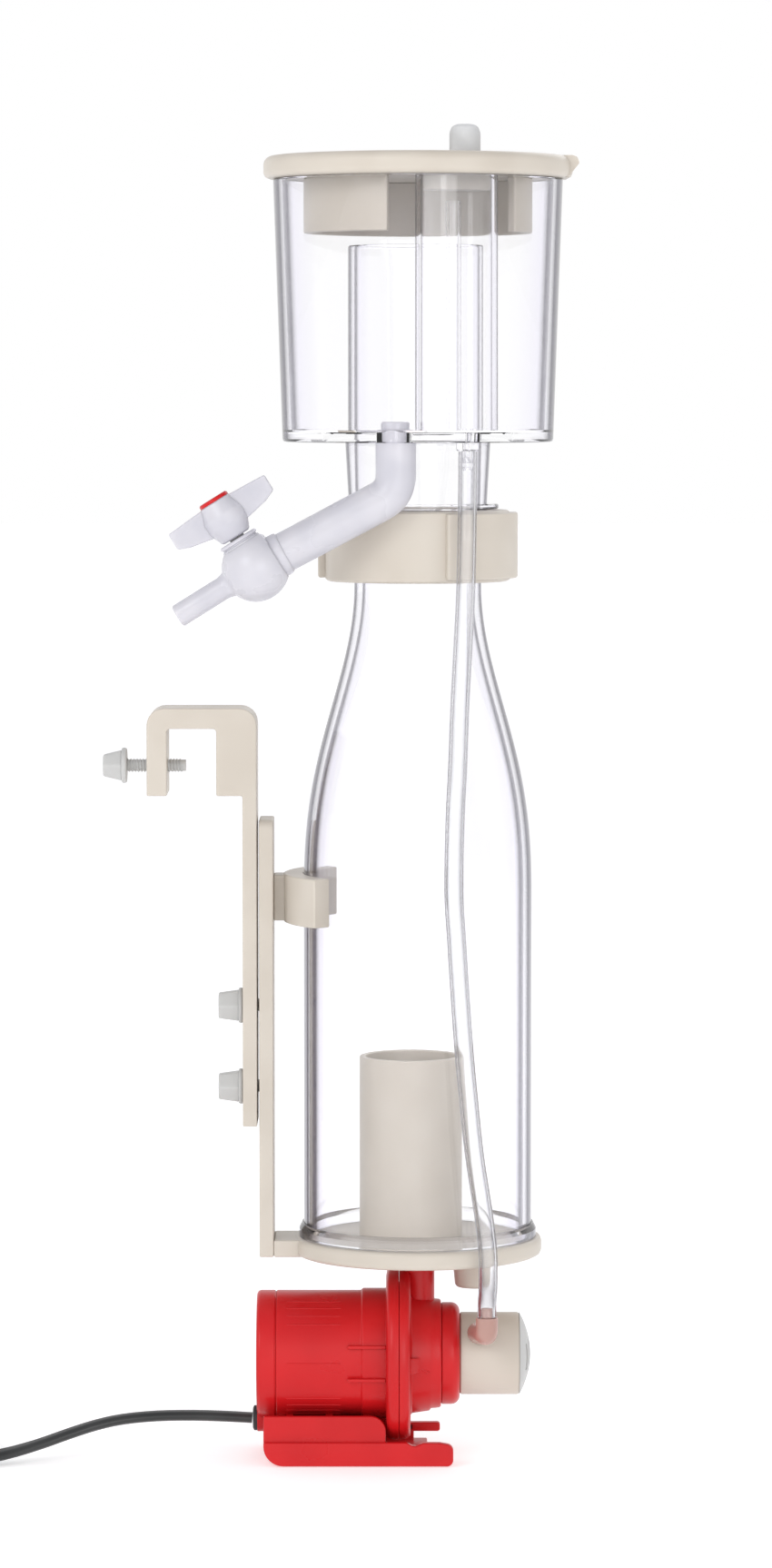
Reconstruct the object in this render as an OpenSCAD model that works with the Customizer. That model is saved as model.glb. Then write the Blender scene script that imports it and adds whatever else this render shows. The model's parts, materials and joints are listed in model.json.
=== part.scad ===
// Slim in-tank protein skimmer, drawn standing on the foot of its pump.
// The body axis is the Z axis and the floor is z = 0. The pump lies along X, with its intake towards +X,
// and the rim hook and the drain cock are on the -X side.

/* [Body] */
// Outer radius of the clear body tube
body_r = 33.5; // [33.2:0.1:33.8]
// Wall of the clear body tube
body_wall = 2.4; // [2:0.1:3]
// Outer radius of the body's neck
body_neck_r = 18.6; // [18:0.1:18.6]
// Height where the shoulder starts to draw in
shoulder_z = 165; // [160:1:180]
// Radius of the bubble riser in the body
bubble_riser_r = 15.1; // [14:0.1:15.5]
// Height of the bubble riser's open top
bubble_riser_top_z = 119; // [100:1:140]

/* [Base] */
// Height of the base plate's underside
base_z = 60.5; // [60:0.5:61]
// Thickness of the base plate
base_t = 5.3; // [5:0.1:6]
// Radius of the base plate
base_r = 36.5; // [36:0.1:37]
// Half the width of the arm and of the bracket
bracket_half_w = 10; // [8:0.5:12]

/* [Cup] */
// Height of the cup's underside
cup_z = 299; // [298.5:0.5:300]
// Height of the cup
cup_h = 76.2; // [74:0.2:76.2]
// Outer radius of the cup at its floor
cup_floor_r = 39.5; // [39.5:0.1:40.5]
// Outer radius of the cup at its mouth
cup_mouth_r = 42.2; // [41.5:0.1:43]
// Wall of the cup
cup_wall = 2.6; // [2:0.1:2.6]
// Radius of the riser in the cup
riser_r = 20.4; // [20:0.1:20.6]
// Height of the riser's open top
riser_top_z = 356; // [340:1:358]

/* [Lid] */
// Radius of the lid
lid_r = 45; // [44:0.1:46]
// Thickness of the lid
lid_t = 6.5; // [5:0.1:7]
// Outer radius of the ring under the lid
skirt_r = 33.3; // [32.5:0.1:34]

/* [Collar] */
// Height of the collar's underside
collar_z = 258.4; // [258:0.1:258.4]
// Height of the collar
collar_h = 20.8; // [20.8:0.1:21]
// Radius of the collar between its grip lugs
collar_r = 27; // [26.5:0.1:28]
// Radius over the grip lugs
lug_r = 29.2; // [28.5:0.1:29.4]

/* [Drain cock] */
// Outer radius of the drain pipe
drain_pipe_r = 5.8; // [5.4:0.1:5.9]
// Fall of the drain pipe below the horizontal, in degrees
drain_tilt = 28; // [24:1:32]
// Fall of the tap body below the horizontal, in degrees
tap_tilt = 32; // [28:1:34]
// Radius of the tap's round body
tap_r = 9.8; // [9:0.1:10]
// Outer radius of the outlet spout
spout_r = 3.35; // [3:0.05:3.6]
// Length of the spout from the middle of the tap
spout_len = 26.5; // [22:0.5:30]

/* [Rim bracket] */
// Width of the gap that takes the tank's rim
rim_gap = 14.4; // [12:0.2:15]
// Thickness of the hook's top bar
hook_bar_t = 6; // [5:0.1:6.2]
// Height of the hook's top
hook_top_z = 221.6; // [218:0.2:224]
// Radius of the nylon screw and of the slot studs
screw_r = 2; // [1.8:0.05:2]

/* [Pump] */
// Height of the pump's axis above the floor
pump_z = 30.5; // [30.4:0.1:30.6]
// Outer radius of the motor can
motor_r = 18.6; // [18.2:0.1:18.8]
// Radius of the flange between motor and volute
flange_r = 25.3; // [24.5:0.1:25.4]
// Radius of the intake nozzle
nozzle_r = 12.1; // [11.5:0.1:12.5]
// Number of needles in the impeller's outer ring
needle_count = 12; // [8:1:14]

/* [Cord] */
// Width of the flat power cord
cord_w = 5.2; // [5:0.1:5.4]
// Thickness of the flat power cord
cord_t = 3.2; // [3:0.1:3.4]

/* [Hidden] */
$fn = 96;

CLEAR = [0.82, 0.83, 0.90, 0.4];
CREAM = [0.86, 0.83, 0.74];
NYLON = [0.88, 0.88, 0.86];
MILKY = [0.84, 0.84, 0.87];
RED = [0.80, 0.05, 0.06];
BLACK = [0.08, 0.08, 0.08];
STEEL = [0.60, 0.61, 0.63];

// Gap left between glued or pressed parts
glue = 0.02;
// Radial gap of a running fit
running = 0.05;

base_top_z = base_z + base_t;
body_inner_r = body_r - body_wall;
body_top_z = 264;
shoulder_top_z = 257;
shoulder_steps = 14;
bubble_riser_x = -2;
bubble_riser_wall = 1.8;
stub_x = 16.8;
stub_bore_r = 3.6;
stub_len = 10.1;
pump_outlet_x = 0.2;
pump_outlet_r = 4.8;

plate_t = 4.2;
plate_x = -46.4;
plate_top_z = 189;
clip_z = 158.7;
clip_h = 14.2;
clip_r = 39.4;
hook_plate_x = -51.2;
hook_plate_foot_z = 99;
hook_block_w = 11.8;
hook_leg_w = 5.9;
hook_leg_foot_z = 196;
hook_corner_r = 5;
slot_low_z = 104;
slot_high_z = 186;
slot_r = screw_r + 0.3;
nut_zs = [133.7, 109.8];
nut_face_x = -51.4;
nut_len = 7.1;
nut_r = 5.2;
nut_tip_r = 4.2;
rim_screw_z = 204.4;
rim_screw_head_x = -92.2;
rim_screw_head_len = 7;
rim_screw_tip_x = -67.9;
hook_gap_left_x = hook_plate_x + 4.2 - hook_block_w - rim_gap;
hook_left_x = hook_gap_left_x - hook_leg_w;
hook_right_x = hook_plate_x + 4.2;

socket_r = 24.3;
neck_plug_r = 20.2;
neck_plug_foot_z = 266.4;
seal_z = 276.4;
seal_ring_r = 1.3;
lug_angle = 75;
lug_start = -73;

cup_floor_t = 3;
cup_top_z = cup_z + cup_h;
cup_floor_z = cup_z + cup_floor_t;
riser_bore_r = riser_r - 1.8;
lid_z = cup_top_z + 0.2;
lid_top_z = lid_z + lid_t;
skirt_foot_z = 359.5;
skirt_wall = 2.6;
silencer_angle = -68.1;
silencer_off = 28.7;
silencer_r = 7;
silencer_straight = 10;
silencer_wall = 1.6;
barb_local = [3.3, -1.2];
filter_local = [2.8, 0];
filter_r = 4.9;
filter_spigot_r = 3;

drain_at = [-6.5, -31.3];
bend_z = 284.6;
drain_bore_r = 2.9;
drain_run = 45.5;
drain_pipe_end = drain_run - 9;
tap_at = [
    drain_at[0] - drain_run * cos(drain_tilt),
    drain_at[1],
    bend_z - drain_run * sin(drain_tilt)
];
tap_bonnet_h = 9.9;
tap_plug_r = 4.55;
handle_foot = 10.4;
handle_top = 22.3;
handle_reach = 16.2;

motor_end_x = -47.3;
end_cap_x = -41.5;
flange_x = -9.3;
flange_joint_x = -5.5;
volute_x = -2.1;
cover_x = 6.9;
nozzle_x = 12.4;
nozzle_end_x = 30;
can_wall = 1.8;
well_r = 9.8;
well_bore_r = 8.6;
well_end_x = -30.2;
shaft_r = 1.5;
volute_bore_r = 14.5;

foot_x = -45.2;
foot_half_w = 18;
foot_wall = 3;
foot_rail_h = 7;
foot_cradle_h = 14.6;
foot_round = 5.8;
foot_near_end_x = 10.4;
foot_far_end_x = 6.8;
cord_exit = [-48.6, 0, 11.2];
barb_r = 1.6;
barb_foot_z = 291;
elbow_r = 3.2;
elbow_z = 40.6;
elbow_root = [17, -8, 38];

// Centre line of the airline hose, from the barb under the cup to the air elbow
HOSE_ROUTE = [
    [14.2, -26.5, 296.4], [14.2, -26.5, 290.5], [14.1, -28.4, 283], [13.9, -31.4, 272], [13.6, -32, 258],
    [12.9, -31.4, 242], [11.9, -31, 223], [11.3, -32, 206], [10.5, -34.4, 190], [10.2, -35.8, 170],
    [11, -36, 156], [11.8, -36, 143], [13.1, -36, 125], [14.4, -35.9, 111], [16.2, -35.6, 94],
    [18.8, -35.3, 77], [20.1, -34.9, 66], [20.2, -34.2, 60], [20.2, -31.2, 54.5], [20, -27.2, 49.5],
    [20, -27, 45.7]
];
hose_r = 2.75;
hose_bore_r = 2;

// Centre line of the cord from the grommet to the coil, with the roll of its flat side in degrees
LEAD_ROUTE = [
    [-48.8, 0, 11.2, 0], [-56, 0, 11.6, 0], [-66, 0, 11.9, 0], [-77, -0.5, 11.8, 0], [-87, -1.5, 11, 0],
    [-95, -3, 9.5, 0], [-103, -5.3, 7.3, 0], [-112, -8.8, 4.7, 0], [-122, -13.8, 2.8, 10],
    [-133, -20.4, 2.4, 35], [-145, -26.4, 2.6, 65], [-155, -28.9, 2.75, 85], [-165, -29.7, 2.8, 90]
];
// Centre line of the cord from the coil to the plug
TAIL_ROUTE = [
    [-200.7, 6, 8.1, 90], [-200.8, 13, 8.1, 90], [-201, 20, 8.3, 90], [-201, 26.9, 8.5, 90]
];
coil_at = [-165, 6];
coil_inner_r = 22.1;
coil_outer_r = 37.5;
coil_h = 10.9;
plug_at = [-201, 27, 8.5];

// ---------------------------------------------------------------- helpers

// Upright tube between two heights
module tube(outer_r, inner_r, low_z, high_z) {
    translate([0, 0, low_z]) difference() {
        cylinder(r = outer_r, h = high_z - low_z);
        translate([0, 0, -1]) cylinder(r = inner_r, h = high_z - low_z + 2);
    }
}

// Lays what is drawn along Z on the pump's axis, along X
module on_pump_axis() {
    translate([0, 0, pump_z]) rotate([0, 90, 0]) children();
}

// Round bar along X
module x_bar(r, x0, x1, y = 0, z = 0) {
    translate([x0, y, z]) rotate([0, 90, 0]) cylinder(r = r, h = x1 - x0);
}

// Flat outline in X and Z, given its depth along Y about the middle plane
module depth_extrude(depth) {
    rotate([90, 0, 0]) linear_extrude(height = depth, center = true) children();
}

// Pie slice for cutting rings, in degrees from +X
module slice(start, angle, reach) {
    polygon([[0, 0], for (i = [0:4]) reach * [cos(start + angle * i / 4), sin(start + angle * i / 4)]]);
}

// Flattened round outline: two half circles joined by straight sides
module stadium(r, straight) {
    translate([-straight / 2, 0]) circle(r = r);
    translate([straight / 2, 0]) circle(r = r);
    translate([-straight / 2, -r]) square([straight, 2 * r]);
}

// Slot outline between two heights, drawn in Y and Z and run through along X
module x_slot(r, low_z, high_z, x0, x1) {
    x_bar(r, x0, x1, 0, low_z + r);
    x_bar(r, x0, x1, 0, high_z - r);
    translate([x0, -r, low_z + r]) cube([x1 - x0, 2 * r, high_z - low_z - 2 * r]);
}

// Puts its children on the silencer's own axis, with X along the cup's wall and -Y outwards
module at_silencer(local = [0, 0]) {
    rotate(silencer_angle) translate([silencer_off, 0, 0]) rotate(90) translate([local[0], local[1], 0])
        children();
}

// Lays Z along the drain pipe, from its bend
module along_drain() {
    translate([drain_at[0], drain_at[1], bend_z]) rotate([0, -(90 + drain_tilt), 0]) children();
}

// Lays Z along the spout and X along the stem, from the middle of the tap
module at_tap() {
    translate(tap_at) rotate([0, -(90 + tap_tilt), 0]) children();
}

function unit(v) = v / norm(v);
function place(p) = [p[0], p[1], p[2]];
function roll_of(p) = len(p) > 3 ? p[3] : 0;
function heading(route, i) = unit(
    place(route[min(i + 1, len(route) - 1)]) - place(route[max(i - 1, 0)])
);
// Direction across the route, kept level except where the route itself is upright
function across(t) = abs(t[2]) > 0.6 ? unit(cross(t, [0, 1, 0])) : unit(cross(t, [0, 0, 1]));

function ring_of(route, i, half_w, half_t, sides) =
    let (
        t = heading(route, i),
        side = across(t),
        up = cross(side, t),
        roll = roll_of(route[i]),
        wide = side * cos(roll) + up * sin(roll),
        thin = up * cos(roll) - side * sin(roll)
    )
    [for (k = [0:sides - 1])
        place(route[i]) + wide * half_w * cos(360 * k / sides) + thin * half_t * sin(360 * k / sides)];

function rings_of(route, half_w, half_t, sides) =
    [for (i = [0:len(route) - 1]) each ring_of(route, i, half_w, half_t, sides)];

// Side faces between neighbouring rings, two triangles to each four-sided patch
function wall_faces(rings, sides, first = 0) = [
    for (i = [0:rings - 2], k = [0:sides - 1])
        let (a = first + i * sides + k, b = first + i * sides + (k + 1) % sides)
        each [[a, a + sides, b + sides], [a, b + sides, b]]
];

// One closed cord swept along a route, with an oval section
module swept(route, half_w, half_t, sides) {
    last = len(route) - 1;
    start_face = [for (k = [0:sides - 1]) k];
    end_face = [for (k = [sides - 1:-1:0]) last * sides + k];
    polyhedron(
        points = rings_of(route, half_w, half_t, sides),
        faces = concat([start_face], [end_face], wall_faces(last + 1, sides)),
        convexity = 6
    );
}

// One hose swept along a route, open at both ends
module swept_hose(route, outer_r, inner_r, sides) {
    rings = len(route);
    bore = rings * sides;
    start_end = [
        for (k = [0:sides - 1]) let (n = (k + 1) % sides)
            each [[k, n, bore + n], [k, bore + n, bore + k]]
    ];
    far = (rings - 1) * sides;
    far_end = [
        for (k = [0:sides - 1]) let (a = far + k, b = far + (k + 1) % sides)
            each [[b, a, bore + a], [b, bore + a, bore + b]]
    ];
    polyhedron(
        points = concat(rings_of(route, outer_r, outer_r, sides), rings_of(route, inner_r, inner_r, sides)),
        faces = concat(
            wall_faces(rings, sides), start_end, far_end,
            [for (f = wall_faces(rings, sides, bore)) [f[2], f[1], f[0]]]
        ),
        convexity = 8
    );
}

// ---------------------------------------------------------------- body and base

function shoulder(t) =
    body_neck_r + (body_r - body_neck_r) * (1 + cos(180 * pow(t, 1.3))) / 2;

function body_outline(inset) = concat(
    [[body_r - inset, base_top_z]],
    [for (i = [0:shoulder_steps])
        [shoulder(i / shoulder_steps) - inset,
         shoulder_z + (shoulder_top_z - shoulder_z) * i / shoulder_steps]],
    [[body_neck_r - inset, body_top_z]]
);

function backwards(list) = [for (i = [len(list) - 1:-1:0]) list[i]];

module body_tube() {
    color(CLEAR) rotate_extrude()
        polygon(concat(body_outline(0), backwards(body_outline(body_wall))));
}

module tube_foot_ring() {
    color(CLEAR) tube(body_r + 1.4, body_r + glue, base_top_z, base_top_z + 4);
}

module bubble_riser() {
    color(CREAM) translate([bubble_riser_x, 0, 0])
        tube(bubble_riser_r, bubble_riser_r - bubble_riser_wall, base_top_z, bubble_riser_top_z);
}

module base_plate() {
    edge = 0.8;
    color(CREAM) difference() {
        union() {
            rotate_extrude() polygon([
                [0, base_z], [base_r - edge, base_z], [base_r, base_z + edge],
                [base_r, base_top_z - edge], [base_r - edge, base_top_z], [0, base_top_z]
            ]);
            translate([plate_x + plate_t, -bracket_half_w, base_z])
                cube([-plate_x - plate_t, 2 * bracket_half_w, base_t]);
        }
        translate([pump_outlet_x, 0, base_z - 1]) cylinder(r = pump_outlet_r + 0.2, h = base_t + 2);
        translate([pump_outlet_x, 0, base_z - 1]) cylinder(r = pump_outlet_r + 1.6, h = 3.8);
        translate([stub_x, 0, base_z - 1]) cylinder(r = stub_bore_r + 0.5, h = base_t + 2);
    }
}

module outlet_stub() {
    color(CREAM) translate([stub_x, 0, 0]) rotate_extrude() polygon([
        [stub_bore_r, base_z - stub_len], [5.2, base_z - stub_len], [5.8, base_z - stub_len + 0.8],
        [6.7, base_z], [stub_bore_r, base_z]
    ]);
}

// ---------------------------------------------------------------- rim bracket

module bracket_plate() {
    corner = 3;
    low = base_z;
    color(CREAM) difference() {
        translate([plate_x, 0, 0]) rotate([90, 0, 90]) linear_extrude(height = plate_t) union() {
            translate([-bracket_half_w, low]) square([2 * bracket_half_w, plate_top_z - corner - low]);
            translate([-bracket_half_w + corner, low])
                square([2 * (bracket_half_w - corner), plate_top_z - low]);
            for (side = [-1, 1]) translate([side * (bracket_half_w - corner), plate_top_z - corner])
                circle(r = corner);
        }
        for (z = nut_zs) x_bar(screw_r + glue, plate_x - 1, plate_x + plate_t + 1, 0, z);
    }
}

module body_clip() {
    arm_angle = 40.4;
    block_half_w = 5;
    color(CREAM) difference() {
        union() {
            translate([0, 0, clip_z]) linear_extrude(height = clip_h) intersection() {
                circle(r = clip_r);
                slice(180 - arm_angle, 2 * arm_angle, 2 * clip_r);
            }
            translate([plate_x + plate_t, -block_half_w, clip_z + 0.4])
                cube([-plate_x - plate_t - body_r - 1, 2 * block_half_w, clip_h - 0.8]);
        }
        translate([0, 0, clip_z - 1]) cylinder(r = body_r + 0.1, h = clip_h + 2);
    }
}

module slot_studs() {
    color(NYLON) for (z = nut_zs) x_bar(screw_r, nut_face_x - nut_len + 1, plate_x + plate_t, 0, z);
}

// Tapered hexagonal thumb nut, with its wide face towards +X
module thumb_nut(z) {
    color(NYLON) difference() {
        translate([nut_face_x, 0, z]) rotate([0, -90, 0]) union() {
            cylinder(r = nut_r, h = 1.2);
            translate([0, 0, 1.2]) cylinder(r1 = nut_r, r2 = nut_tip_r, h = nut_len - 1.2, $fn = 6);
        }
        x_bar(screw_r + running, nut_face_x - nut_len - 1, nut_face_x + 1, 0, z);
    }
}

module upper_nut() { thumb_nut(nut_zs[0]); }

module lower_nut() { thumb_nut(nut_zs[1]); }

module hook_outline() {
    inner_r = 1;
    gap_top_z = hook_top_z - hook_bar_t;
    difference() {
        union() {
            translate([hook_left_x, hook_leg_foot_z])
                square([hook_right_x - hook_left_x, hook_top_z - hook_corner_r - hook_leg_foot_z]);
            translate([hook_left_x + hook_corner_r, hook_leg_foot_z])
                square([hook_right_x - hook_left_x - 2 * hook_corner_r, hook_top_z - hook_leg_foot_z]);
            for (x = [hook_left_x + hook_corner_r, hook_right_x - hook_corner_r])
                translate([x, hook_top_z - hook_corner_r]) circle(r = hook_corner_r);
        }
        translate([hook_gap_left_x, hook_leg_foot_z - 1])
            square([rim_gap, gap_top_z - inner_r - hook_leg_foot_z + 1]);
        translate([hook_gap_left_x + inner_r, hook_leg_foot_z - 1])
            square([rim_gap - 2 * inner_r, gap_top_z - hook_leg_foot_z + 1]);
        for (x = [hook_gap_left_x + inner_r, hook_gap_left_x + rim_gap - inner_r])
            translate([x, gap_top_z - inner_r]) circle(r = inner_r);
    }
    translate([hook_plate_x, hook_plate_foot_z])
        square([plate_t, hook_leg_foot_z + 1 - hook_plate_foot_z]);
}

module hook_plate() {
    color(CREAM) difference() {
        depth_extrude(2 * bracket_half_w) hook_outline();
        x_slot(slot_r, slot_low_z, slot_high_z, hook_plate_x - 1, hook_right_x + 1);
        x_bar(screw_r + running, hook_left_x - 1, hook_gap_left_x + 1, 0, rim_screw_z);
    }
}

module rim_screw() {
    head_end_x = rim_screw_head_x + rim_screw_head_len;
    color(NYLON) union() {
        x_bar(screw_r, head_end_x - 0.5, rim_screw_tip_x, 0, rim_screw_z);
        x_bar(nut_r, head_end_x - 1.6, head_end_x, 0, rim_screw_z);
        translate([head_end_x - 1.6, 0, rim_screw_z]) rotate([0, -90, 0])
            cylinder(r1 = nut_r, r2 = nut_tip_r - 0.6, h = rim_screw_head_len - 1.6, $fn = 6);
    }
}

// ---------------------------------------------------------------- neck and collar

module neck_socket() {
    seat_z = body_top_z;
    plug_z = neck_plug_foot_z - 0.2;
    color(CREAM) rotate_extrude() polygon([
        [body_neck_r + glue, collar_z + 0.2], [socket_r, collar_z + 0.2], [socket_r, seal_z - seal_ring_r],
        [neck_plug_r + running, seal_z - seal_ring_r], [neck_plug_r + running, plug_z],
        [body_neck_r - 1.6, plug_z], [body_neck_r - 1.6, seat_z], [body_neck_r + glue, seat_z]
    ]);
}

module neck_seal() {
    color(BLACK) rotate_extrude() translate([neck_plug_r + running + seal_ring_r, seal_z])
        circle(r = seal_ring_r, $fn = 24);
}

module collar_ring() {
    edge = 0.8;
    top_z = collar_z + collar_h;
    lip_t = 1.3;
    color(CREAM) difference() {
        union() {
            rotate_extrude() polygon([
                [0, collar_z], [collar_r - edge, collar_z], [collar_r, collar_z + edge],
                [collar_r, top_z - edge], [collar_r - edge, top_z], [0, top_z]
            ]);
            for (start = [lug_start, lug_start + 180])
                translate([0, 0, collar_z + 1]) linear_extrude(height = collar_h - 1.6) intersection() {
                    circle(r = lug_r);
                    slice(start, lug_angle, 2 * lug_r);
                }
        }
        translate([0, 0, collar_z - 1]) cylinder(r = socket_r + 0.3, h = collar_h + 1 - lip_t);
        translate([0, 0, collar_z - 1]) cylinder(r = neck_plug_r + 0.7, h = collar_h + 2);
    }
}

// ---------------------------------------------------------------- cup

module collection_cup() {
    color(CLEAR) difference() {
        rotate_extrude() polygon([
            [riser_bore_r, cup_z], [cup_floor_r - 0.6, cup_z], [cup_floor_r, cup_z + 0.6],
            [cup_mouth_r, cup_top_z], [cup_mouth_r - cup_wall, cup_top_z],
            [cup_floor_r - cup_wall, cup_floor_z], [riser_bore_r, cup_floor_z]
        ]);
        translate([drain_at[0], drain_at[1], cup_z - 1]) cylinder(r = 5 + glue, h = cup_floor_t + 2);
        at_silencer(barb_local) translate([0, 0, cup_z - 1]) cylinder(r = 2 + glue, h = cup_floor_t + 2);
    }
}

module cup_riser() {
    color(CLEAR) tube(riser_r, riser_bore_r, cup_floor_z, riser_top_z);
}

module cup_neck() {
    flange_z = collar_z + collar_h + 0.3;
    color(CLEAR) rotate_extrude() polygon([
        [riser_bore_r, cup_z], [neck_plug_r + 1, cup_z], [neck_plug_r, flange_z + 1.5],
        [23.6, flange_z + 1.5], [23.6, flange_z], [neck_plug_r, flange_z],
        [neck_plug_r, neck_plug_foot_z], [riser_bore_r - 0.6, neck_plug_foot_z]
    ]);
}

module silencer_chamber() {
    color(CLEAR) at_silencer() translate([0, 0, cup_floor_z]) linear_extrude(height = cup_h - cup_floor_t)
        difference() {
            stadium(silencer_r, silencer_straight);
            stadium(silencer_r - silencer_wall, silencer_straight);
        }
}

module silencer_tube() {
    color(CLEAR) at_silencer([-1, 0]) tube(2, 1.3, cup_floor_z, 368);
}

module air_barb() {
    bore_r = 0.8;
    color(CLEAR) at_silencer(barb_local) rotate_extrude() polygon([
        [bore_r, barb_foot_z], [barb_r, barb_foot_z], [barb_r, 296.6], [3, 296.6], [3.3, 297], [3.3, cup_z],
        [2, cup_z], [2, cup_floor_z + 1], [bore_r, cup_floor_z + 1]
    ]);
}

// ---------------------------------------------------------------- drain cock

module drain_grommet() {
    color(BLACK) translate([drain_at[0], drain_at[1], 0]) rotate_extrude() polygon([
        [4 + glue, cup_z], [5, cup_z], [5, cup_floor_z + 0.8], [4 + glue, cup_floor_z + 0.8]
    ]);
}

module drain_elbow() {
    color(MILKY) difference() {
        union() {
            translate([drain_at[0], drain_at[1], bend_z]) cylinder(r = drain_pipe_r, h = cup_z - bend_z);
            translate([drain_at[0], drain_at[1], cup_z - 0.5]) cylinder(r = 4, h = cup_floor_t + 3.5);
            translate([drain_at[0], drain_at[1], bend_z]) sphere(r = drain_pipe_r + 0.2);
            along_drain() cylinder(r = drain_pipe_r, h = drain_pipe_end);
        }
        translate([drain_at[0], drain_at[1], bend_z]) cylinder(r = drain_bore_r, h = 40);
        along_drain() translate([0, 0, -1]) cylinder(r = drain_bore_r - 0.2, h = drain_pipe_end + 2);
    }
}

module tap_body() {
    color(MILKY) difference() {
        union() {
            translate(tap_at) sphere(r = tap_r);
            at_tap() cylinder(r = spout_r, h = spout_len);
            at_tap() rotate([0, 90, 0]) cylinder(r = 5.9, h = tap_bonnet_h);
            along_drain() translate([0, 0, drain_pipe_end - 1.5]) cylinder(r = 7, h = 6);
        }
        at_tap() translate([0, 0, -1]) cylinder(r = 2.2, h = spout_len + 2);
        at_tap() rotate([0, 90, 0]) translate([0, 0, -7]) cylinder(r = tap_plug_r + running, h = 20);
        along_drain() translate([0, 0, drain_pipe_end - 3]) cylinder(r = drain_pipe_r + glue, h = 3);
        along_drain() translate([0, 0, drain_pipe_end - 1]) cylinder(r = 2.2, h = 10);
    }
}

module tap_plug() {
    color(NYLON) at_tap() difference() {
        rotate([0, 90, 0]) union() {
            translate([0, 0, -6.9]) cylinder(r = tap_plug_r, h = tap_bonnet_h - 0.1 + 6.9);
            cylinder(r = 2.3, h = 16);
        }
        translate([0, 0, -8]) cylinder(r = 2.2, h = 16);
    }
}

module tap_handle() {
    color(MILKY) at_tap() difference() {
        union() {
            rotate([0, 90, 0]) rotate_extrude() polygon([
                [0, handle_foot], [4.6, handle_foot], [6.4, 14.5], [6.4, 18], [4.9, handle_top], [0, handle_top]
            ]);
            rotate([-90, -90, 0]) linear_extrude(height = 4, center = true) polygon([
                for (side = [-1, 1]) each (side < 0
                    ? [[-handle_reach, 16.2], [-handle_reach, 21.3], [0, handle_top]]
                    : [[handle_reach, 21.3], [handle_reach, 16.2], [12.6, 14.7], [6, 13.4],
                       [-6, 13.4], [-12.6, 14.7]])
            ]);
        }
        rotate([0, 90, 0]) translate([0, 0, handle_foot - 1]) cylinder(r = 2.3 + glue, h = 6.7);
    }
}

module tap_disc() {
    color(RED) at_tap() rotate([0, 90, 0]) translate([0, 0, handle_top]) cylinder(r = 4.6, h = 1.1);
}

// ---------------------------------------------------------------- lid

module lid() {
    nose = 2.6;
    tab_half_w = 10;
    arc = [for (i = [0:6]) [lid_r - nose + nose * cos(15 * i), lid_top_z - nose + nose * sin(15 * i)]];
    color(CREAM) difference() {
        union() {
            rotate_extrude() polygon(concat([[0, lid_z], [lid_r - 1, lid_z], [lid_r, lid_z + 1]],
                arc, [[0, lid_top_z]]));
            depth_extrude(2 * tab_half_w) polygon([
                [lid_r - 8, lid_z], [lid_r - 1.6, lid_z], [lid_r + 1.7, lid_z + 4.2],
                [lid_r + 1.1, lid_top_z - 0.5], [lid_r - 0.4, lid_top_z], [lid_r - 8, lid_top_z]
            ]);
        }
        at_silencer(filter_local) translate([0, 0, lid_z - 1])
            cylinder(r = filter_spigot_r + running, h = lid_t + 2);
    }
}

module lid_skirt() {
    gap_start = -105.3;
    gap_angle = 70.3;
    color(CREAM) difference() {
        tube(skirt_r, skirt_r - skirt_wall, skirt_foot_z, lid_z);
        translate([0, 0, skirt_foot_z - 1]) linear_extrude(height = 30)
            slice(gap_start, gap_angle, 2 * skirt_r);
    }
}

module silencer_stopper() {
    color(CREAM) at_silencer() difference() {
        translate([0, 0, 371]) linear_extrude(height = lid_z - 371)
            stadium(silencer_r - silencer_wall - 0.35, silencer_straight);
        translate([filter_local[0], filter_local[1], 370]) cylinder(r = filter_spigot_r + running, h = 10);
    }
}

module filter_plug() {
    dome = [for (i = [0:6]) [filter_r - 3 + 3 * cos(15 * i), lid_top_z + 5.1 + 3 * sin(15 * i)]];
    color([0.62, 0.62, 0.64]) at_silencer(filter_local) rotate_extrude() polygon(concat(
        [[0, 371.5], [filter_spigot_r, 371.5], [filter_spigot_r, lid_top_z], [filter_r, lid_top_z]],
        dome, [[0, lid_top_z + 8.1]]
    ));
}

// ---------------------------------------------------------------- airline

module airline_hose() {
    color(CLEAR) swept_hose(HOSE_ROUTE, hose_r, hose_bore_r, 12);
}

module air_elbow() {
    bore_r = 0.9;
    at = HOSE_ROUTE[len(HOSE_ROUTE) - 1];
    centre = [at[0], at[1], elbow_z];
    leg = elbow_root - centre;
    color([0.86, 0.76, 0.72]) difference() {
        union() {
            translate(centre) cylinder(r = elbow_r, h = at[2] - elbow_z);
            translate(centre) cylinder(r = barb_r, h = at[2] - elbow_z + 3);
            translate(centre) sphere(r = elbow_r + 0.15);
            translate(centre) rotate([0, 0, atan2(leg[1], leg[0])])
                rotate([0, acos(leg[2] / norm(leg)), 0]) cylinder(r = elbow_r, h = norm(leg));
        }
        on_pump_axis() translate([0, 0, nozzle_x]) cylinder(r = nozzle_r + glue, h = 12);
        translate(centre) cylinder(r = bore_r, h = 10);
    }
}

// ---------------------------------------------------------------- pump

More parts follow.
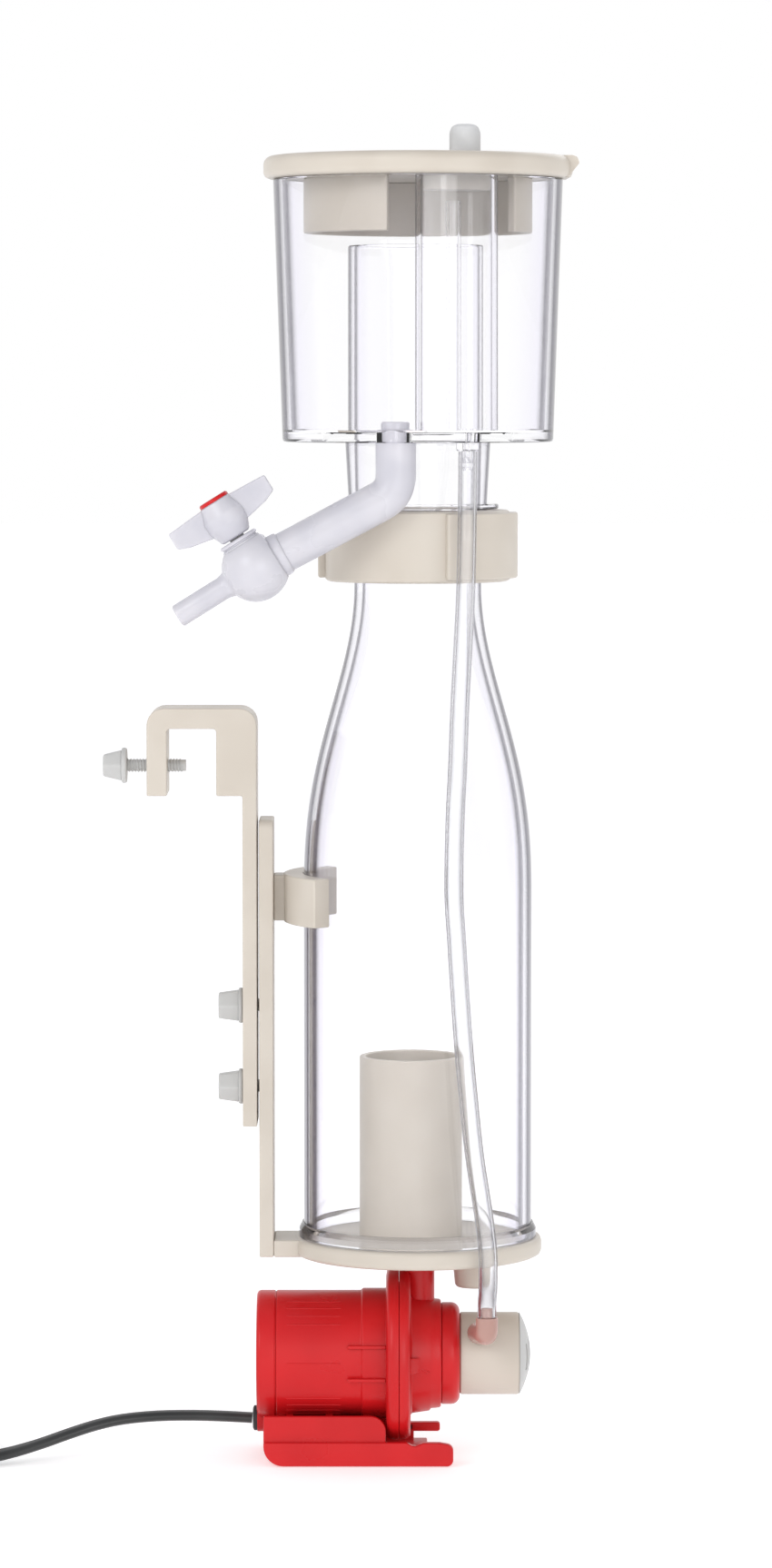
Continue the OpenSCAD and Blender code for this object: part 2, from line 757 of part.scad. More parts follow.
module motor_housing() {
    band_x = -16.6;
    color(RED) union() {
        on_pump_axis() rotate_extrude() polygon([
            [motor_r - can_wall, end_cap_x], [motor_r, end_cap_x], [motor_r, band_x], [motor_r + 0.6, band_x],
            [motor_r + 0.6, flange_x], [flange_r - 1.5, flange_x], [flange_r, flange_x + 1.5],
            [flange_r, flange_joint_x], [well_bore_r, flange_joint_x], [well_bore_r, well_end_x + 1.2],
            [0, well_end_x + 1.2], [0, well_end_x], [well_r, well_end_x], [well_r, flange_x - 1.5],
            [motor_r - can_wall, flange_x - 1.5]
        ]);
        for (side = [-1, 1]) translate([-20.5, -motor_r - 0.9, pump_z + side * 4.9 - 0.5])
            cube([20.5 + flange_x, 2.2, 1]);
    }
}

module motor_end_cap() {
    gland_r = 4;
    color(RED) difference() {
        union() {
            on_pump_axis() rotate_extrude() polygon([
                [0, motor_end_x], [motor_r - 1, motor_end_x], [motor_r, motor_end_x + 1], [motor_r, end_cap_x],
                [0, end_cap_x]
            ]);
            x_bar(gland_r, motor_end_x, end_cap_x, 0, cord_exit[2]);
            translate([motor_end_x, -gland_r, cord_exit[2]]) cube([end_cap_x - motor_end_x, 2 * gland_r, 5]);
        }
        x_bar(3, motor_end_x - 1, motor_end_x + 3, 0, cord_exit[2]);
    }
}

module stator_core_shape() {
    for (side = [-1, 1]) translate([-37.5, side * 12.2 - 2, pump_z - 8]) cube([24.5, 4, 16]);
    translate([-37.5, -14, pump_z - 8]) cube([3.2, 28, 16]);
}

module stator_core() {
    color(STEEL) stator_core_shape();
}

module stator_coil_shape() {
    translate([-40.6, -8, pump_z - 11.2]) cube([9.4, 16, 22.4]);
}

module stator_coil() {
    color([0.72, 0.42, 0.20]) difference() {
        stator_coil_shape();
        stator_core_shape();
    }
}

module potting_resin() {
    color([0.15, 0.15, 0.16]) difference() {
        on_pump_axis() translate([0, 0, end_cap_x])
            cylinder(r = motor_r - can_wall, h = flange_x - 1.5 - end_cap_x);
        on_pump_axis() translate([0, 0, well_end_x]) cylinder(r = well_r, h = 40);
        stator_core_shape();
        stator_coil_shape();
    }
}

module rotor_magnet() {
    color([0.20, 0.20, 0.21]) on_pump_axis() tube(8.1, shaft_r + 0.06, -26, -10.5);
}

// Disc with rings of needles, on a hub that joins the magnet
module impeller() {
    needle_r = 0.7;
    color(CREAM) on_pump_axis() difference() {
        union() {
            translate([0, 0, -10.5]) cylinder(r = 4.6, h = 7);
            translate([0, 0, -4.4]) cylinder(r = 13, h = 1.5);
            cylinder(r = 3.4, h = 3.2);
            translate([0, 0, -3]) cylinder(r = 3.4, h = 3.5);
            for (ring = [[12, needle_count, 0], [9, needle_count - 3, 10], [6.2, needle_count - 6, 20]])
                for (k = [0:ring[1] - 1])
                    rotate(ring[2] + 360 * k / ring[1]) translate([ring[0], 0, -3])
                        cylinder(r = needle_r, h = 6, $fn = 16);
        }
        translate([0, 0, -11]) cylinder(r = shaft_r + 0.06, h = 20);
    }
}

module ceramic_shaft() {
    color([0.92, 0.92, 0.90]) on_pump_axis() translate([0, 0, well_end_x + 1.2 + glue])
        cylinder(r = shaft_r, h = 8.3 - well_end_x - 1.2);
}

module shaft_bushes() {
    color(BLACK) on_pump_axis() {
        tube(3.6, shaft_r + glue, well_end_x + 1.2, well_end_x + 3.6);
        tube(2.9, shaft_r + glue, 5.6, 8.2);
    }
}

module volute() {
    seal_r = 20;
    color(RED) difference() {
        union() {
            on_pump_axis() rotate_extrude() polygon([
                [0, flange_joint_x], [flange_r, flange_joint_x], [flange_r, volute_x - 1], [flange_r - 1, volute_x],
                [17.8, volute_x], [16, cover_x], [0, cover_x]
            ]);
            translate([pump_outlet_x, 0, pump_z]) cylinder(r = pump_outlet_r, h = base_top_z - 1 - pump_z);
        }
        on_pump_axis() translate([0, 0, flange_joint_x - 1]) cylinder(r = volute_bore_r, h = 11.3);
        on_pump_axis() translate([0, 0, flange_joint_x - 1]) cylinder(r = 14.2, h = 20);
        on_pump_axis() tube(seal_r + 1.1, seal_r - 1.1, flange_joint_x - 1, flange_joint_x + 1.2);
        translate([pump_outlet_x, 0, pump_z]) cylinder(r = pump_outlet_r - 1.6, h = 50);
    }
}

module volute_seal() {
    color(BLACK) on_pump_axis() tube(21, 19, flange_joint_x, flange_joint_x + 1.15);
}

module outlet_seal() {
    color(BLACK) translate([pump_outlet_x, 0, 0])
        tube(pump_outlet_r + 1.6, pump_outlet_r + glue, base_z, base_z + 2.8);
}

// Bayonet cover of the volute, with a three-armed carrier for the front bush
module front_cover() {
    edge = 2.5;
    rim = [for (i = [0:5]) [15 - edge + edge * cos(18 * i), nozzle_x - edge + edge * sin(18 * i)]];
    color(RED) on_pump_axis() difference() {
        union() {
            rotate_extrude() polygon(concat([[8.6, cover_x], [15, cover_x]], rim, [[8.6, nozzle_x]]));
            tube(14.15, 12.2, 5, cover_x);
            tube(4.2, 2.9 + glue, 5.6, 8.4);
            for (k = [0:2]) rotate(30 + 120 * k) translate([3.6, -0.8, 6.9]) cube([5.6, 1.6, 1.5]);
        }
        cylinder(r = 2.9 + glue, h = 12);
    }
}

module intake_nozzle() {
    color(CREAM) difference() {
        on_pump_axis() rotate_extrude() polygon([
            [7, 9], [8.6 - glue, 9], [8.6 - glue, nozzle_x], [nozzle_r, nozzle_x], [nozzle_r, nozzle_end_x],
            [nozzle_r - 2, nozzle_end_x], [nozzle_r - 2, nozzle_x + 2], [7, nozzle_x + 2]
        ]);
        translate(elbow_root) rotate([65, 0, 0]) cylinder(r = 1.5, h = 6, center = true);
    }
}

// Shallow dome with water slots, on a short spigot in the nozzle's end
module intake_strainer() {
    rise = 3.3;
    dome_r = (nozzle_r * nozzle_r + rise * rise) / (2 * rise);
    angle = asin(nozzle_r / dome_r);
    wall = 1.5;
    centre_x = nozzle_end_x + rise - dome_r;
    outer = [for (i = [8:-1:0]) [dome_r * sin(angle * i / 8), centre_x + dome_r * cos(angle * i / 8)]];
    color([0.93, 0.93, 0.92]) difference() {
        on_pump_axis() rotate_extrude() polygon(concat(
            [[0, nozzle_end_x + rise - wall], [nozzle_r - 3.5, nozzle_end_x + 0.6],
             [nozzle_r - 3.5, nozzle_end_x - 3], [nozzle_r - 2 - glue, nozzle_end_x - 3],
             [nozzle_r - 2 - glue, nozzle_end_x]],
            outer
        ));
        for (k = [-2:2]) translate([nozzle_end_x - 0.5, -0.9 + 3.4 * k, pump_z - 6 + abs(k)])
            cube([6, 1.8, 12 - 2 * abs(k)]);
    }
}

// Side of the foot: a rail with a raised cradle wall, drawn in X and Z
module foot_side(rail_end_x) {
    cradle_end_x = -14;
    cradle_round = 4.6;
    translate([foot_x + foot_round, foot_round]) circle(r = foot_round);
    translate([foot_x + foot_round, 0]) square([rail_end_x - 2 - foot_x - foot_round, foot_rail_h]);
    translate([rail_end_x - 2, 2]) square([2, foot_rail_h - 4]);
    for (z = [2, foot_rail_h - 2]) translate([rail_end_x - 2, z]) circle(r = 2);
    translate([foot_x, foot_round]) square([cradle_end_x - foot_x, foot_cradle_h - foot_round]);
    translate([cradle_end_x, foot_cradle_h - cradle_round]) circle(r = cradle_round);
    translate([cradle_end_x, foot_rail_h - 1])
        square([cradle_round, foot_cradle_h - cradle_round - foot_rail_h + 1]);
}

module pump_foot() {
    tray_end_x = 3;
    floor_t = 2.4;
    cradle_step = 1.2;
    side_y = foot_half_w - foot_wall / 2;
    color(RED) difference() {
        union() {
            translate([0, -side_y, 0]) depth_extrude(foot_wall) foot_side(foot_near_end_x);
            translate([0, side_y, 0]) depth_extrude(foot_wall) foot_side(-3);
            translate([-6, side_y - foot_wall / 2, 4.2]) cube([foot_far_end_x + 6, foot_wall, foot_rail_h - 4.2]);
            depth_extrude(2 * side_y) difference() {
                union() {
                    translate([foot_x + foot_round, foot_round]) circle(r = foot_round);
                    translate([foot_x + foot_round, 0])
                        square([tray_end_x - foot_x - foot_round, foot_rail_h - 0.2]);
                }
                translate([foot_x + foot_round + 0.4, floor_t]) square([60, 20]);
                translate([foot_x - 1, foot_rail_h - 0.2]) square([60, 20]);
            }
            for (x = [-38.6, -27, -16]) translate([x, -side_y, floor_t - 0.5]) cube([2, 2 * side_y, 12]);
        }
        on_pump_axis() translate([0, 0, -60]) cylinder(r = motor_r + 0.05, h = 40);
        on_pump_axis() translate([0, 0, -21]) cylinder(r = motor_r + 0.7, h = 14);
        translate([foot_x - 1, -foot_half_w - 1, foot_rail_h]) cube([50, 1 + cradle_step, 20]);
    }
}

// ---------------------------------------------------------------- power cord

module cord_grommet() {
    color(BLACK) union() {
        x_bar(3.7, cord_exit[0], motor_end_x, 0, cord_exit[2]);
        x_bar(3 - glue, motor_end_x - 0.1, motor_end_x + 2.9, 0, cord_exit[2]);
    }
}

module cord_lead() {
    color(BLACK) swept(LEAD_ROUTE, cord_w / 2, cord_t / 2, 10);
}

module cord_coil() {
    bevel = 1.4;
    color(BLACK) translate([coil_at[0], coil_at[1], 0]) rotate_extrude() polygon([
        [coil_inner_r + bevel, 0.1], [coil_outer_r - bevel, 0.1], [coil_outer_r, 0.1 + bevel],
        [coil_outer_r, coil_h - bevel], [coil_outer_r - bevel, coil_h], [coil_inner_r + bevel, coil_h],
        [coil_inner_r, coil_h - bevel], [coil_inner_r, 0.1 + bevel]
    ]);
}

module cord_tail() {
    color(BLACK) swept(TAIL_ROUTE, cord_w / 2, cord_t / 2, 10);
}

// Strap round the coil's bundle, on the side away from the object
module cord_tie() {
    width = 5;
    wrap = 0.9;
    angle = 45;
    bite = 0.1;
    middle = (coil_inner_r + coil_outer_r) / 2;
    half = (coil_outer_r - coil_inner_r) / 2 + 0.2;
    color(BLACK) translate([coil_at[0], coil_at[1], 0]) rotate(angle) difference() {
        translate([middle - half - wrap, -width / 2, 0.2]) cube([2 * (half + wrap), width, coil_h + wrap - 0.2]);
        translate([middle - half, -width, -1]) cube([2 * half, 2 * width, coil_h - bite + 1]);
    }
}

// Two-pin plug lying on its wide side, with its pins towards +Y
module plug_body() {
    color(BLACK) translate(plug_at) union() {
        rotate([-90, 0, 0]) cylinder(r1 = 3.4, r2 = 5, h = 12);
        translate([-9, 11, -8.4]) cube([18, 6, 16.8]);
        translate([-12.5, 16, -8.4]) cube([25, 20, 16.8]);
    }
}

module plug_pins() {
    color([0.80, 0.66, 0.35]) for (side = [-1, 1])
        translate([plug_at[0] + side * 6.35 - 0.75, plug_at[1] + 36, plug_at[2] - 3.2]) cube([1.5, 16.5, 6.4]);
}

body_tube();
tube_foot_ring();
bubble_riser();
base_plate();
outlet_stub();
bracket_plate();
body_clip();
slot_studs();
upper_nut();
lower_nut();
hook_plate();
rim_screw();
neck_socket();
neck_seal();
collar_ring();
collection_cup();
cup_riser();
cup_neck();
silencer_chamber();
silencer_tube();
air_barb();
drain_grommet();
drain_elbow();
tap_body();
tap_plug();
tap_handle();
tap_disc();
lid();
lid_skirt();
silencer_stopper();
filter_plug();
airline_hose();
air_elbow();
motor_housing();
motor_end_cap();
potting_resin();
stator_core();
stator_coil();
rotor_magnet();
impeller();
ceramic_shaft();
shaft_bushes();
volute();
volute_seal();
outlet_seal();
front_cover();
intake_nozzle();
intake_strainer();
pump_foot();
cord_grommet();
cord_lead();
cord_coil();
cord_tail();
cord_tie();
plug_body();
plug_pins();
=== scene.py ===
# %% [markdown]
# # A protein skimmer, piece by piece
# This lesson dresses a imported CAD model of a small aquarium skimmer. The real object is a clear bottle with
# a cup on its neck, a hook for the tank's rim and a red pump underneath. The CAD model already says where
# each piece is, how large it is and how it moves, so it is loaded first and nothing in it is moved.

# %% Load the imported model
import json
import math

import bmesh
import bpy
from mathutils import Matrix, Vector

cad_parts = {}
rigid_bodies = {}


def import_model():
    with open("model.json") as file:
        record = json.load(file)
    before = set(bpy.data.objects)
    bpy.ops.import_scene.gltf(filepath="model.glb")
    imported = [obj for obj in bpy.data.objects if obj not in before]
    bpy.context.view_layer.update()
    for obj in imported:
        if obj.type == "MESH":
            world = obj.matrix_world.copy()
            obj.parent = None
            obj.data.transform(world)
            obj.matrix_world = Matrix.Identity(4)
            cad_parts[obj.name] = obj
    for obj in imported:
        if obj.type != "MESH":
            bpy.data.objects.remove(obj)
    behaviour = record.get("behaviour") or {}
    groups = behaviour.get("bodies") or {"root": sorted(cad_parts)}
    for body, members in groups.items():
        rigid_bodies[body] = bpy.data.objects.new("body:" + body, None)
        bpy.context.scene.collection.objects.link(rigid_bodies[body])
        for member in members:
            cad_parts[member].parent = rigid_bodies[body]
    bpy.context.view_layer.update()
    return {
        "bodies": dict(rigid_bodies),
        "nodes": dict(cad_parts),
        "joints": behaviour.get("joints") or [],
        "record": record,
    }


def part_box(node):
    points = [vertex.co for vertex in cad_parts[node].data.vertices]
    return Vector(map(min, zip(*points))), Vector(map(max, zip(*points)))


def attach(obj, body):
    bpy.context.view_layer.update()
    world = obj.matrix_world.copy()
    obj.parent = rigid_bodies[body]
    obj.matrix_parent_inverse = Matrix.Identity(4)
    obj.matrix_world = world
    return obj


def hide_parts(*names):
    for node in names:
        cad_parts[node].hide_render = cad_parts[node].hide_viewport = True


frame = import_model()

# %% [markdown]
# ## Camera
# A long lens far away keeps upright tubes upright and shows the cup almost side on. The camera stands
# higher than the middle of the object and looks down by four degrees. A short lens close by would also fill
# the picture, but it would flare the cup and show far more of the lid's underside.

# %% Camera
camera_data = bpy.data.cameras.new("studio_camera")
look_down = 3.98
camera_data.lens = 128.2
camera_data.sensor_width = 36
camera_data.clip_end = 50
camera = bpy.data.objects.new("studio_camera", camera_data)
camera.location = (-0.0093, -1.633, 0.3125)
camera.rotation_euler = (math.radians(90 - look_down), 0, 0)
bpy.context.scene.collection.objects.link(camera)
bpy.context.scene.camera = camera
print("camera at", tuple(round(c, 3) for c in camera.location))

# %% [markdown]
# ## Floor, sky and lamps
# Clear plastic is seen mostly by what stands behind it, so the room matters more than the lamps. A pale
# floor and a bright, even sky give a white surround, and the sky darkens a little overhead so that the
# solid parts still get shading. A modelled room with walls would do the same, but a wall would stand in the
# way of views from behind.

# %% Sky
scene = bpy.context.scene
scene.view_settings.view_transform = "Standard"
# Light crosses many clear walls one behind another, and each crossing is a bounce.
wall_bounces = 40
scene.cycles.max_bounces = wall_bounces
scene.cycles.transmission_bounces = wall_bounces
scene.cycles.transparent_max_bounces = wall_bounces
sky = bpy.data.worlds.new("studio_sky")
scene.world = sky
sky.use_nodes = True
sky_tree = sky.node_tree
sky_light = sky_tree.nodes["Background"]
sky_place = sky_tree.nodes.new("ShaderNodeTexCoord")
sky_split = sky_tree.nodes.new("ShaderNodeSeparateXYZ")
sky_ramp = sky_tree.nodes.new("ShaderNodeValToRGB")
sky_ramp.color_ramp.elements[0].position = 0.35
sky_ramp.color_ramp.elements[0].color = (1.0, 1.0, 1.0, 1)
sky_ramp.color_ramp.elements[1].position = 0.9
sky_ramp.color_ramp.elements[1].color = (0.55, 0.55, 0.58, 1)
sky_tree.links.new(sky_place.outputs["Generated"], sky_split.inputs[0])
sky_tree.links.new(sky_split.outputs["Z"], sky_ramp.inputs[0])
sky_tree.links.new(sky_ramp.outputs["Color"], sky_light.inputs["Color"])
sky_light.inputs["Strength"].default_value = 1.0
print("sky:", len(sky_tree.nodes), "nodes")

# %% Floor
floor_mesh = bpy.data.meshes.new("floor")
floor_bm = bmesh.new()
bmesh.ops.create_grid(floor_bm, x_segments=1, y_segments=1, size=12)
floor_bm.to_mesh(floor_mesh)
floor_bm.free()
floor = bpy.data.objects.new("floor", floor_mesh)
floor.location = (0, 0, -0.0002)
scene.collection.objects.link(floor)
floor_paint = bpy.data.materials.new("pale_floor")
floor_paint.use_nodes = True
floor_shader = floor_paint.node_tree.nodes["Principled BSDF"]
floor_shader.inputs["Base Color"].default_value = (0.88, 0.88, 0.885, 1)
floor_shader.inputs["Roughness"].default_value = 0.9
floor_shader.inputs["Specular IOR Level"].default_value = 0.1
floor_shader.inputs["Emission Color"].default_value = (1, 1, 1, 1)
floor_shader.inputs["Emission Strength"].default_value = 0.4
floor_mesh.materials.append(floor_paint)
print("floor:", floor.dimensions.x, "m across")


# %% Lamps
def soft_lamp(name, place, aim, size, watts):
    """A square lamp that points at a spot in the scene."""
    data = bpy.data.lights.new(name, "AREA")
    data.shape = "SQUARE"
    data.size = size
    data.energy = watts
    lamp = bpy.data.objects.new(name, data)
    lamp.location = place
    lamp.rotation_euler = (Vector(aim) - Vector(place)).to_track_quat("-Z", "Y").to_euler()
    scene.collection.objects.link(lamp)


soft_lamp("key_lamp", (-0.9, -1.2, 0.9), (0, 0, 0.2), 0.7, 5)
soft_lamp("fill_lamp", (0.5, -1.6, 0.4), (0, 0, 0.25), 0.8, 4)
soft_lamp("back_lamp", (0.5, 1.3, 1.1), (0, 0, 0.2), 0.8, 3)

# %% [markdown]
# ## Tools for making pieces
# Most of this object is turned: tubes, cups, discs and rings. A profile spun round an axis makes those, and
# a flat outline pushed through its depth makes the plates. All sizes are in millimetres while a piece is
# drawn and are scaled to metres at the end. Modifiers could do the same work, but small helpers keep each
# piece short.

# %% Frames and boxes
MM = 0.001
# Points closer than this, in millimetres, are one point.
SAME_POINT = 0.0005
UPRIGHT = Matrix.Identity(4)
# Local X and Y of an outline become X and Z of the model, and its depth runs along -Y.
SIDE_ON = Matrix.Rotation(math.radians(90), 4, "X")
# Local X and Y of an outline become Y and Z of the model, and its depth runs along X.
FACE_ON = Matrix(((0, 0, 1, 0), (1, 0, 0, 0), (0, 1, 0, 0), (0, 0, 0, 1)))


def mm_box(node):
    """Lowest and highest corner of a CAD node, in millimetres."""
    low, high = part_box(node)
    return low / MM, high / MM


def at(x, y, z):
    return Matrix.Translation((x, y, z))


def along(point, direction):
    """A frame at a point whose Z runs along a direction, with its X kept as level as it can be."""
    z = Vector(direction).normalized()
    reference = Vector((0, 1, 0)) if abs(z.y) < 0.9 else Vector((1, 0, 0))
    x = reference.cross(z).normalized()
    y = z.cross(x)
    turn = Matrix((x, y, z)).transposed().to_4x4()
    return at(*point) @ turn


# %% Turned shapes
def arc(across, up, radius, first, last, parts):
    """Profile points on a circle round (across, up), between two angles in degrees."""
    angles = [math.radians(first + (last - first) * k / parts) for k in range(parts + 1)]
    return [(across + radius * math.cos(angle), up + radius * math.sin(angle)) for angle in angles]


def turned(bm, profile, frame=UPRIGHT, steps=96, sweep=360, start=0):
    """Spins a profile of (radius, height) points round Z. Part turns get flat ends."""
    old = set(bm.verts)
    ring = [bm.verts.new((radius, 0, height)) for radius, height in profile]
    edges = [bm.edges.new(pair) for pair in zip(ring, ring[1:])]
    # A profile that starts and ends on the axis needs no edge along it.
    if profile[0][0] > 0.001 or profile[-1][0] > 0.001:
        edges.append(bm.edges.new((ring[-1], ring[0])))
    bmesh.ops.spin(
        bm, geom=ring + edges, cent=(0, 0, 0), axis=(0, 0, 1), dvec=(0, 0, 0),
        angle=math.radians(sweep), steps=steps, use_merge=sweep == 360,
    )
    new = [v for v in bm.verts if v not in old]
    bmesh.ops.remove_doubles(bm, verts=new, dist=SAME_POINT)
    bmesh.ops.delete(bm, geom=[e for e in bm.edges if e.is_wire], context="EDGES")
    new = [v for v in bm.verts if v not in old]
    if sweep < 360:
        rim = {e for v in new for e in v.link_edges if e.is_boundary}
        bmesh.ops.holes_fill(bm, edges=list(rim), sides=0)
    bmesh.ops.rotate(bm, cent=(0, 0, 0), matrix=Matrix.Rotation(math.radians(start), 3, "Z"), verts=new)
    bmesh.ops.transform(bm, matrix=frame, verts=new)


print("turned shapes have 96 steps, large ones more and small ones fewer")


# %% Plates and softened edges
def plate(bm, outline, low, high, frame=UPRIGHT, rounds=None, segments=6):
    """Pushes a flat outline from one depth to another. rounds gives corners a radius by their number."""
    old, old_faces = set(bm.verts), set(bm.faces)
    corners = [bm.verts.new((x, y, low)) for x, y in outline]
    bm.faces.new(corners)
    for number, radius in (rounds or {}).items():
        bmesh.ops.bevel(
            bm, geom=[corners[number]], offset=radius, offset_type="OFFSET", segments=segments,
            profile=0.5, affect="VERTICES", clamp_overlap=True, material=-1,
        )
    faces = [f for f in bm.faces if f not in old_faces]
    raised = bmesh.ops.extrude_face_region(bm, geom=faces)
    top = [v for v in raised["geom"] if isinstance(v, bmesh.types.BMVert)]
    bmesh.ops.translate(bm, vec=(0, 0, high - low), verts=top)
    new = [v for v in bm.verts if v not in old]
    bmesh.ops.transform(bm, matrix=frame, verts=new)
    return new


def box_outline(low_x, low_y, high_x, high_y):
    return [(low_x, low_y), (high_x, low_y), (high_x, high_y), (low_x, high_y)]


def all_corners(radius):
    """The same radius for the four corners of a box outline."""
    return {number: radius for number in range(4)}


def soften(bm, width, segments=2, above=30):
    """Rounds every edge where the surface turns by more than an angle."""
    bmesh.ops.recalc_face_normals(bm, faces=bm.faces)
    sharp = [e for e in bm.edges if len(e.link_faces) == 2 and e.calc_face_angle(0) > math.radians(above)]
    bmesh.ops.bevel(
        bm, geom=sharp, offset=width, offset_type="OFFSET", segments=segments, profile=0.5,
        affect="EDGES", clamp_overlap=True, material=-1,
    )


print("plates round their corners before they get their depth")


# %% Swept shapes
def flowing(points, parts=4):
    """A smooth line through points, with extra points between each two."""
    line = []
    last = len(points) - 1
    for i in range(last):
        p0, p1, p2, p3 = (Vector(points[min(max(i + k, 0), last)]) for k in (-1, 0, 1, 2))
        for part in range(parts):
            t = part / parts
            line.append(
                0.5 * (2 * p1 + (p2 - p0) * t + (2 * p0 - 5 * p1 + 4 * p2 - p3) * t * t
                       + (3 * p1 - p0 - 3 * p2 + p3) * t ** 3)
            )
    line.append(Vector(points[last]))
    return line


def ring_frames(line, rolls=None):
    """A frame for each point of a line, with Z along it. Rolls turn each from level. Without them none twists."""
    frames = []
    side = (line[1] - line[0]).cross(Vector((0, 1, 0)))
    for i, point in enumerate(line):
        ahead = (line[min(i + 1, len(line) - 1)] - line[max(i - 1, 0)]).normalized()
        if rolls:
            side = ahead.cross(Vector((0, 0, 1)))
        side = (side - ahead * side.dot(ahead)).normalized()
        up = side.cross(ahead)
        turn = Matrix((side, up, ahead)).transposed().to_4x4()
        roll = Matrix.Rotation(math.radians(rolls[i]) if rolls else 0, 4, "Z")
        frames.append(Matrix.Translation(point) @ turn @ roll)
    return frames


def swept_skin(bm, frames, half_w, half_t, sides, groove=0.0):
    """Extrudes one ring from frame to frame. Returns the edges of its two ends."""
    ring = bmesh.ops.create_circle(bm, cap_ends=False, segments=sides, radius=1.0)["verts"]
    for v in ring:
        dent = 1 - groove * max(0.0, 1 - abs(v.co.x) / 0.4)
        v.co = Vector((v.co.x * half_w, v.co.y * half_t * dent, 0))
    bmesh.ops.transform(bm, matrix=frames[0], verts=ring)
    first = last = list({e for v in ring for e in v.link_edges})
    for before, after in zip(frames, frames[1:]):
        grown = bmesh.ops.extrude_edge_only(bm, edges=last)["geom"]
        ring = [v for v in grown if isinstance(v, bmesh.types.BMVert)]
        last = [e for e in grown if isinstance(e, bmesh.types.BMEdge)]
        bmesh.ops.transform(bm, matrix=after @ before.inverted(), verts=ring)
    return first, last


def swept(bm, line, radius, bore=None, sides=32):
    """A round bar along a line, or a pipe where it has a bore."""
    frames = ring_frames(line)
    first, last = swept_skin(bm, frames, radius, radius, sides)
    if bore is None:
        bmesh.ops.holes_fill(bm, edges=first + last, sides=0)
        return
    inner_first, inner_last = swept_skin(bm, frames, bore, bore, sides)
    bmesh.ops.bridge_loops(bm, edges=first + inner_first)
    bmesh.ops.bridge_loops(bm, edges=last + inner_last)


def eased_corner(corner, start, end, parts):
    """A curve from one point to another that bends towards a corner between them."""
    steps = [k / parts for k in range(parts + 1)]
    return [start * (1 - t) ** 2 + corner * 2 * t * (1 - t) + end * t * t for t in steps]


print("swept shapes keep one ring and push it along")


# %% Finish a piece
# An edge stays sharp where the surface turns by more than this. Clear walls show every change of shading.
SOLID_ANGLE, CLEAR_ANGLE = 50, 12


def finished(bm, name, body, finish, nodes=(), smooth=None):
    """Scales a drawn piece to metres, gives it its finish and body, and hides the CAD nodes it stands for."""
    bmesh.ops.remove_doubles(bm, verts=bm.verts, dist=SAME_POINT)
    bmesh.ops.recalc_face_normals(bm, faces=bm.faces)
    bmesh.ops.scale(bm, vec=(MM, MM, MM), verts=bm.verts)
    mesh = bpy.data.meshes.new(name)
    bm.to_mesh(mesh)
    bm.free()
    clear = finish.name.startswith("clear")
    mesh.shade_smooth()
    mesh.set_sharp_from_angle(angle=math.radians(smooth or (CLEAR_ANGLE if clear else SOLID_ANGLE)))
    mesh.materials.append(finish)
    thing = bpy.data.objects.new(name, mesh)
    scene.collection.objects.link(thing)
    if not clear:
        even = thing.modifiers.new("even_shading", "WEIGHTED_NORMAL")
        even.keep_sharp = True
    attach(thing, body)
    if nodes:
        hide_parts(*nodes)
    print(f"{name}: {len(mesh.polygons)} faces, {tuple(round(d / MM, 1) for d in thing.dimensions)} mm")
    return thing


def cut_out(thing, cutter_bm):
    """Cuts a drawn shape, in millimetres, out of a finished piece."""
    bmesh.ops.recalc_face_normals(cutter_bm, faces=cutter_bm.faces)
    bmesh.ops.scale(cutter_bm, vec=(MM, MM, MM), verts=cutter_bm.verts)
    cutter_mesh = bpy.data.meshes.new("cutter")
    cutter_bm.to_mesh(cutter_mesh)
    cutter_bm.free()
    cutter = bpy.data.objects.new("cutter", cutter_mesh)
    scene.collection.objects.link(cutter)
    # The shading modifier waits, because its normals don't belong in the cut mesh.
    for other in thing.modifiers:
        other.show_viewport = False
    knife = thing.modifiers.new("cut", "BOOLEAN")
    knife.operation = "DIFFERENCE"
    knife.solver = "EXACT"
    knife.object = cutter
    bpy.context.view_layer.update()
    shaped = bpy.data.meshes.new_from_object(thing.evaluated_get(bpy.context.evaluated_depsgraph_get()))
    thing.modifiers.remove(knife)
    for other in thing.modifiers:
        other.show_viewport = True
    thing.data = shaped
    bpy.data.objects.remove(cutter)
    shaped.shade_smooth()
    shaped.set_sharp_from_angle(angle=math.radians(SOLID_ANGLE if thing.modifiers else CLEAR_ANGLE))


print("pieces are finished at the origin, with their place in their mesh")

# %% [markdown]
# ## Shared effects
# Moulded plastic is never one flat colour: the tone drifts a little where it cooled unevenly, and the skin
# has a fine grain that scatters the shine. Each effect is a node group, built once and given its own
# numbers in each material. Painting the same effects by hand would look as good, but it would have to be
# done for every piece.


# %% Node group helper
def effect_group(name, inputs, outputs):
    """An empty node group with named sockets, and its two end nodes."""
    tree = bpy.data.node_groups.new(name, "ShaderNodeTree")
    for title, kind, value in inputs:
        socket = tree.interface.new_socket(name=title, in_out="INPUT", socket_type=kind)
        if value is not None:
            socket.default_value = value
    for title, kind in outputs:
        tree.interface.new_socket(name=title, in_out="OUTPUT", socket_type=kind)
    return tree, tree.nodes.new("NodeGroupInput"), tree.nodes.new("NodeGroupOutput")


print("node groups so far:", len(bpy.data.node_groups))


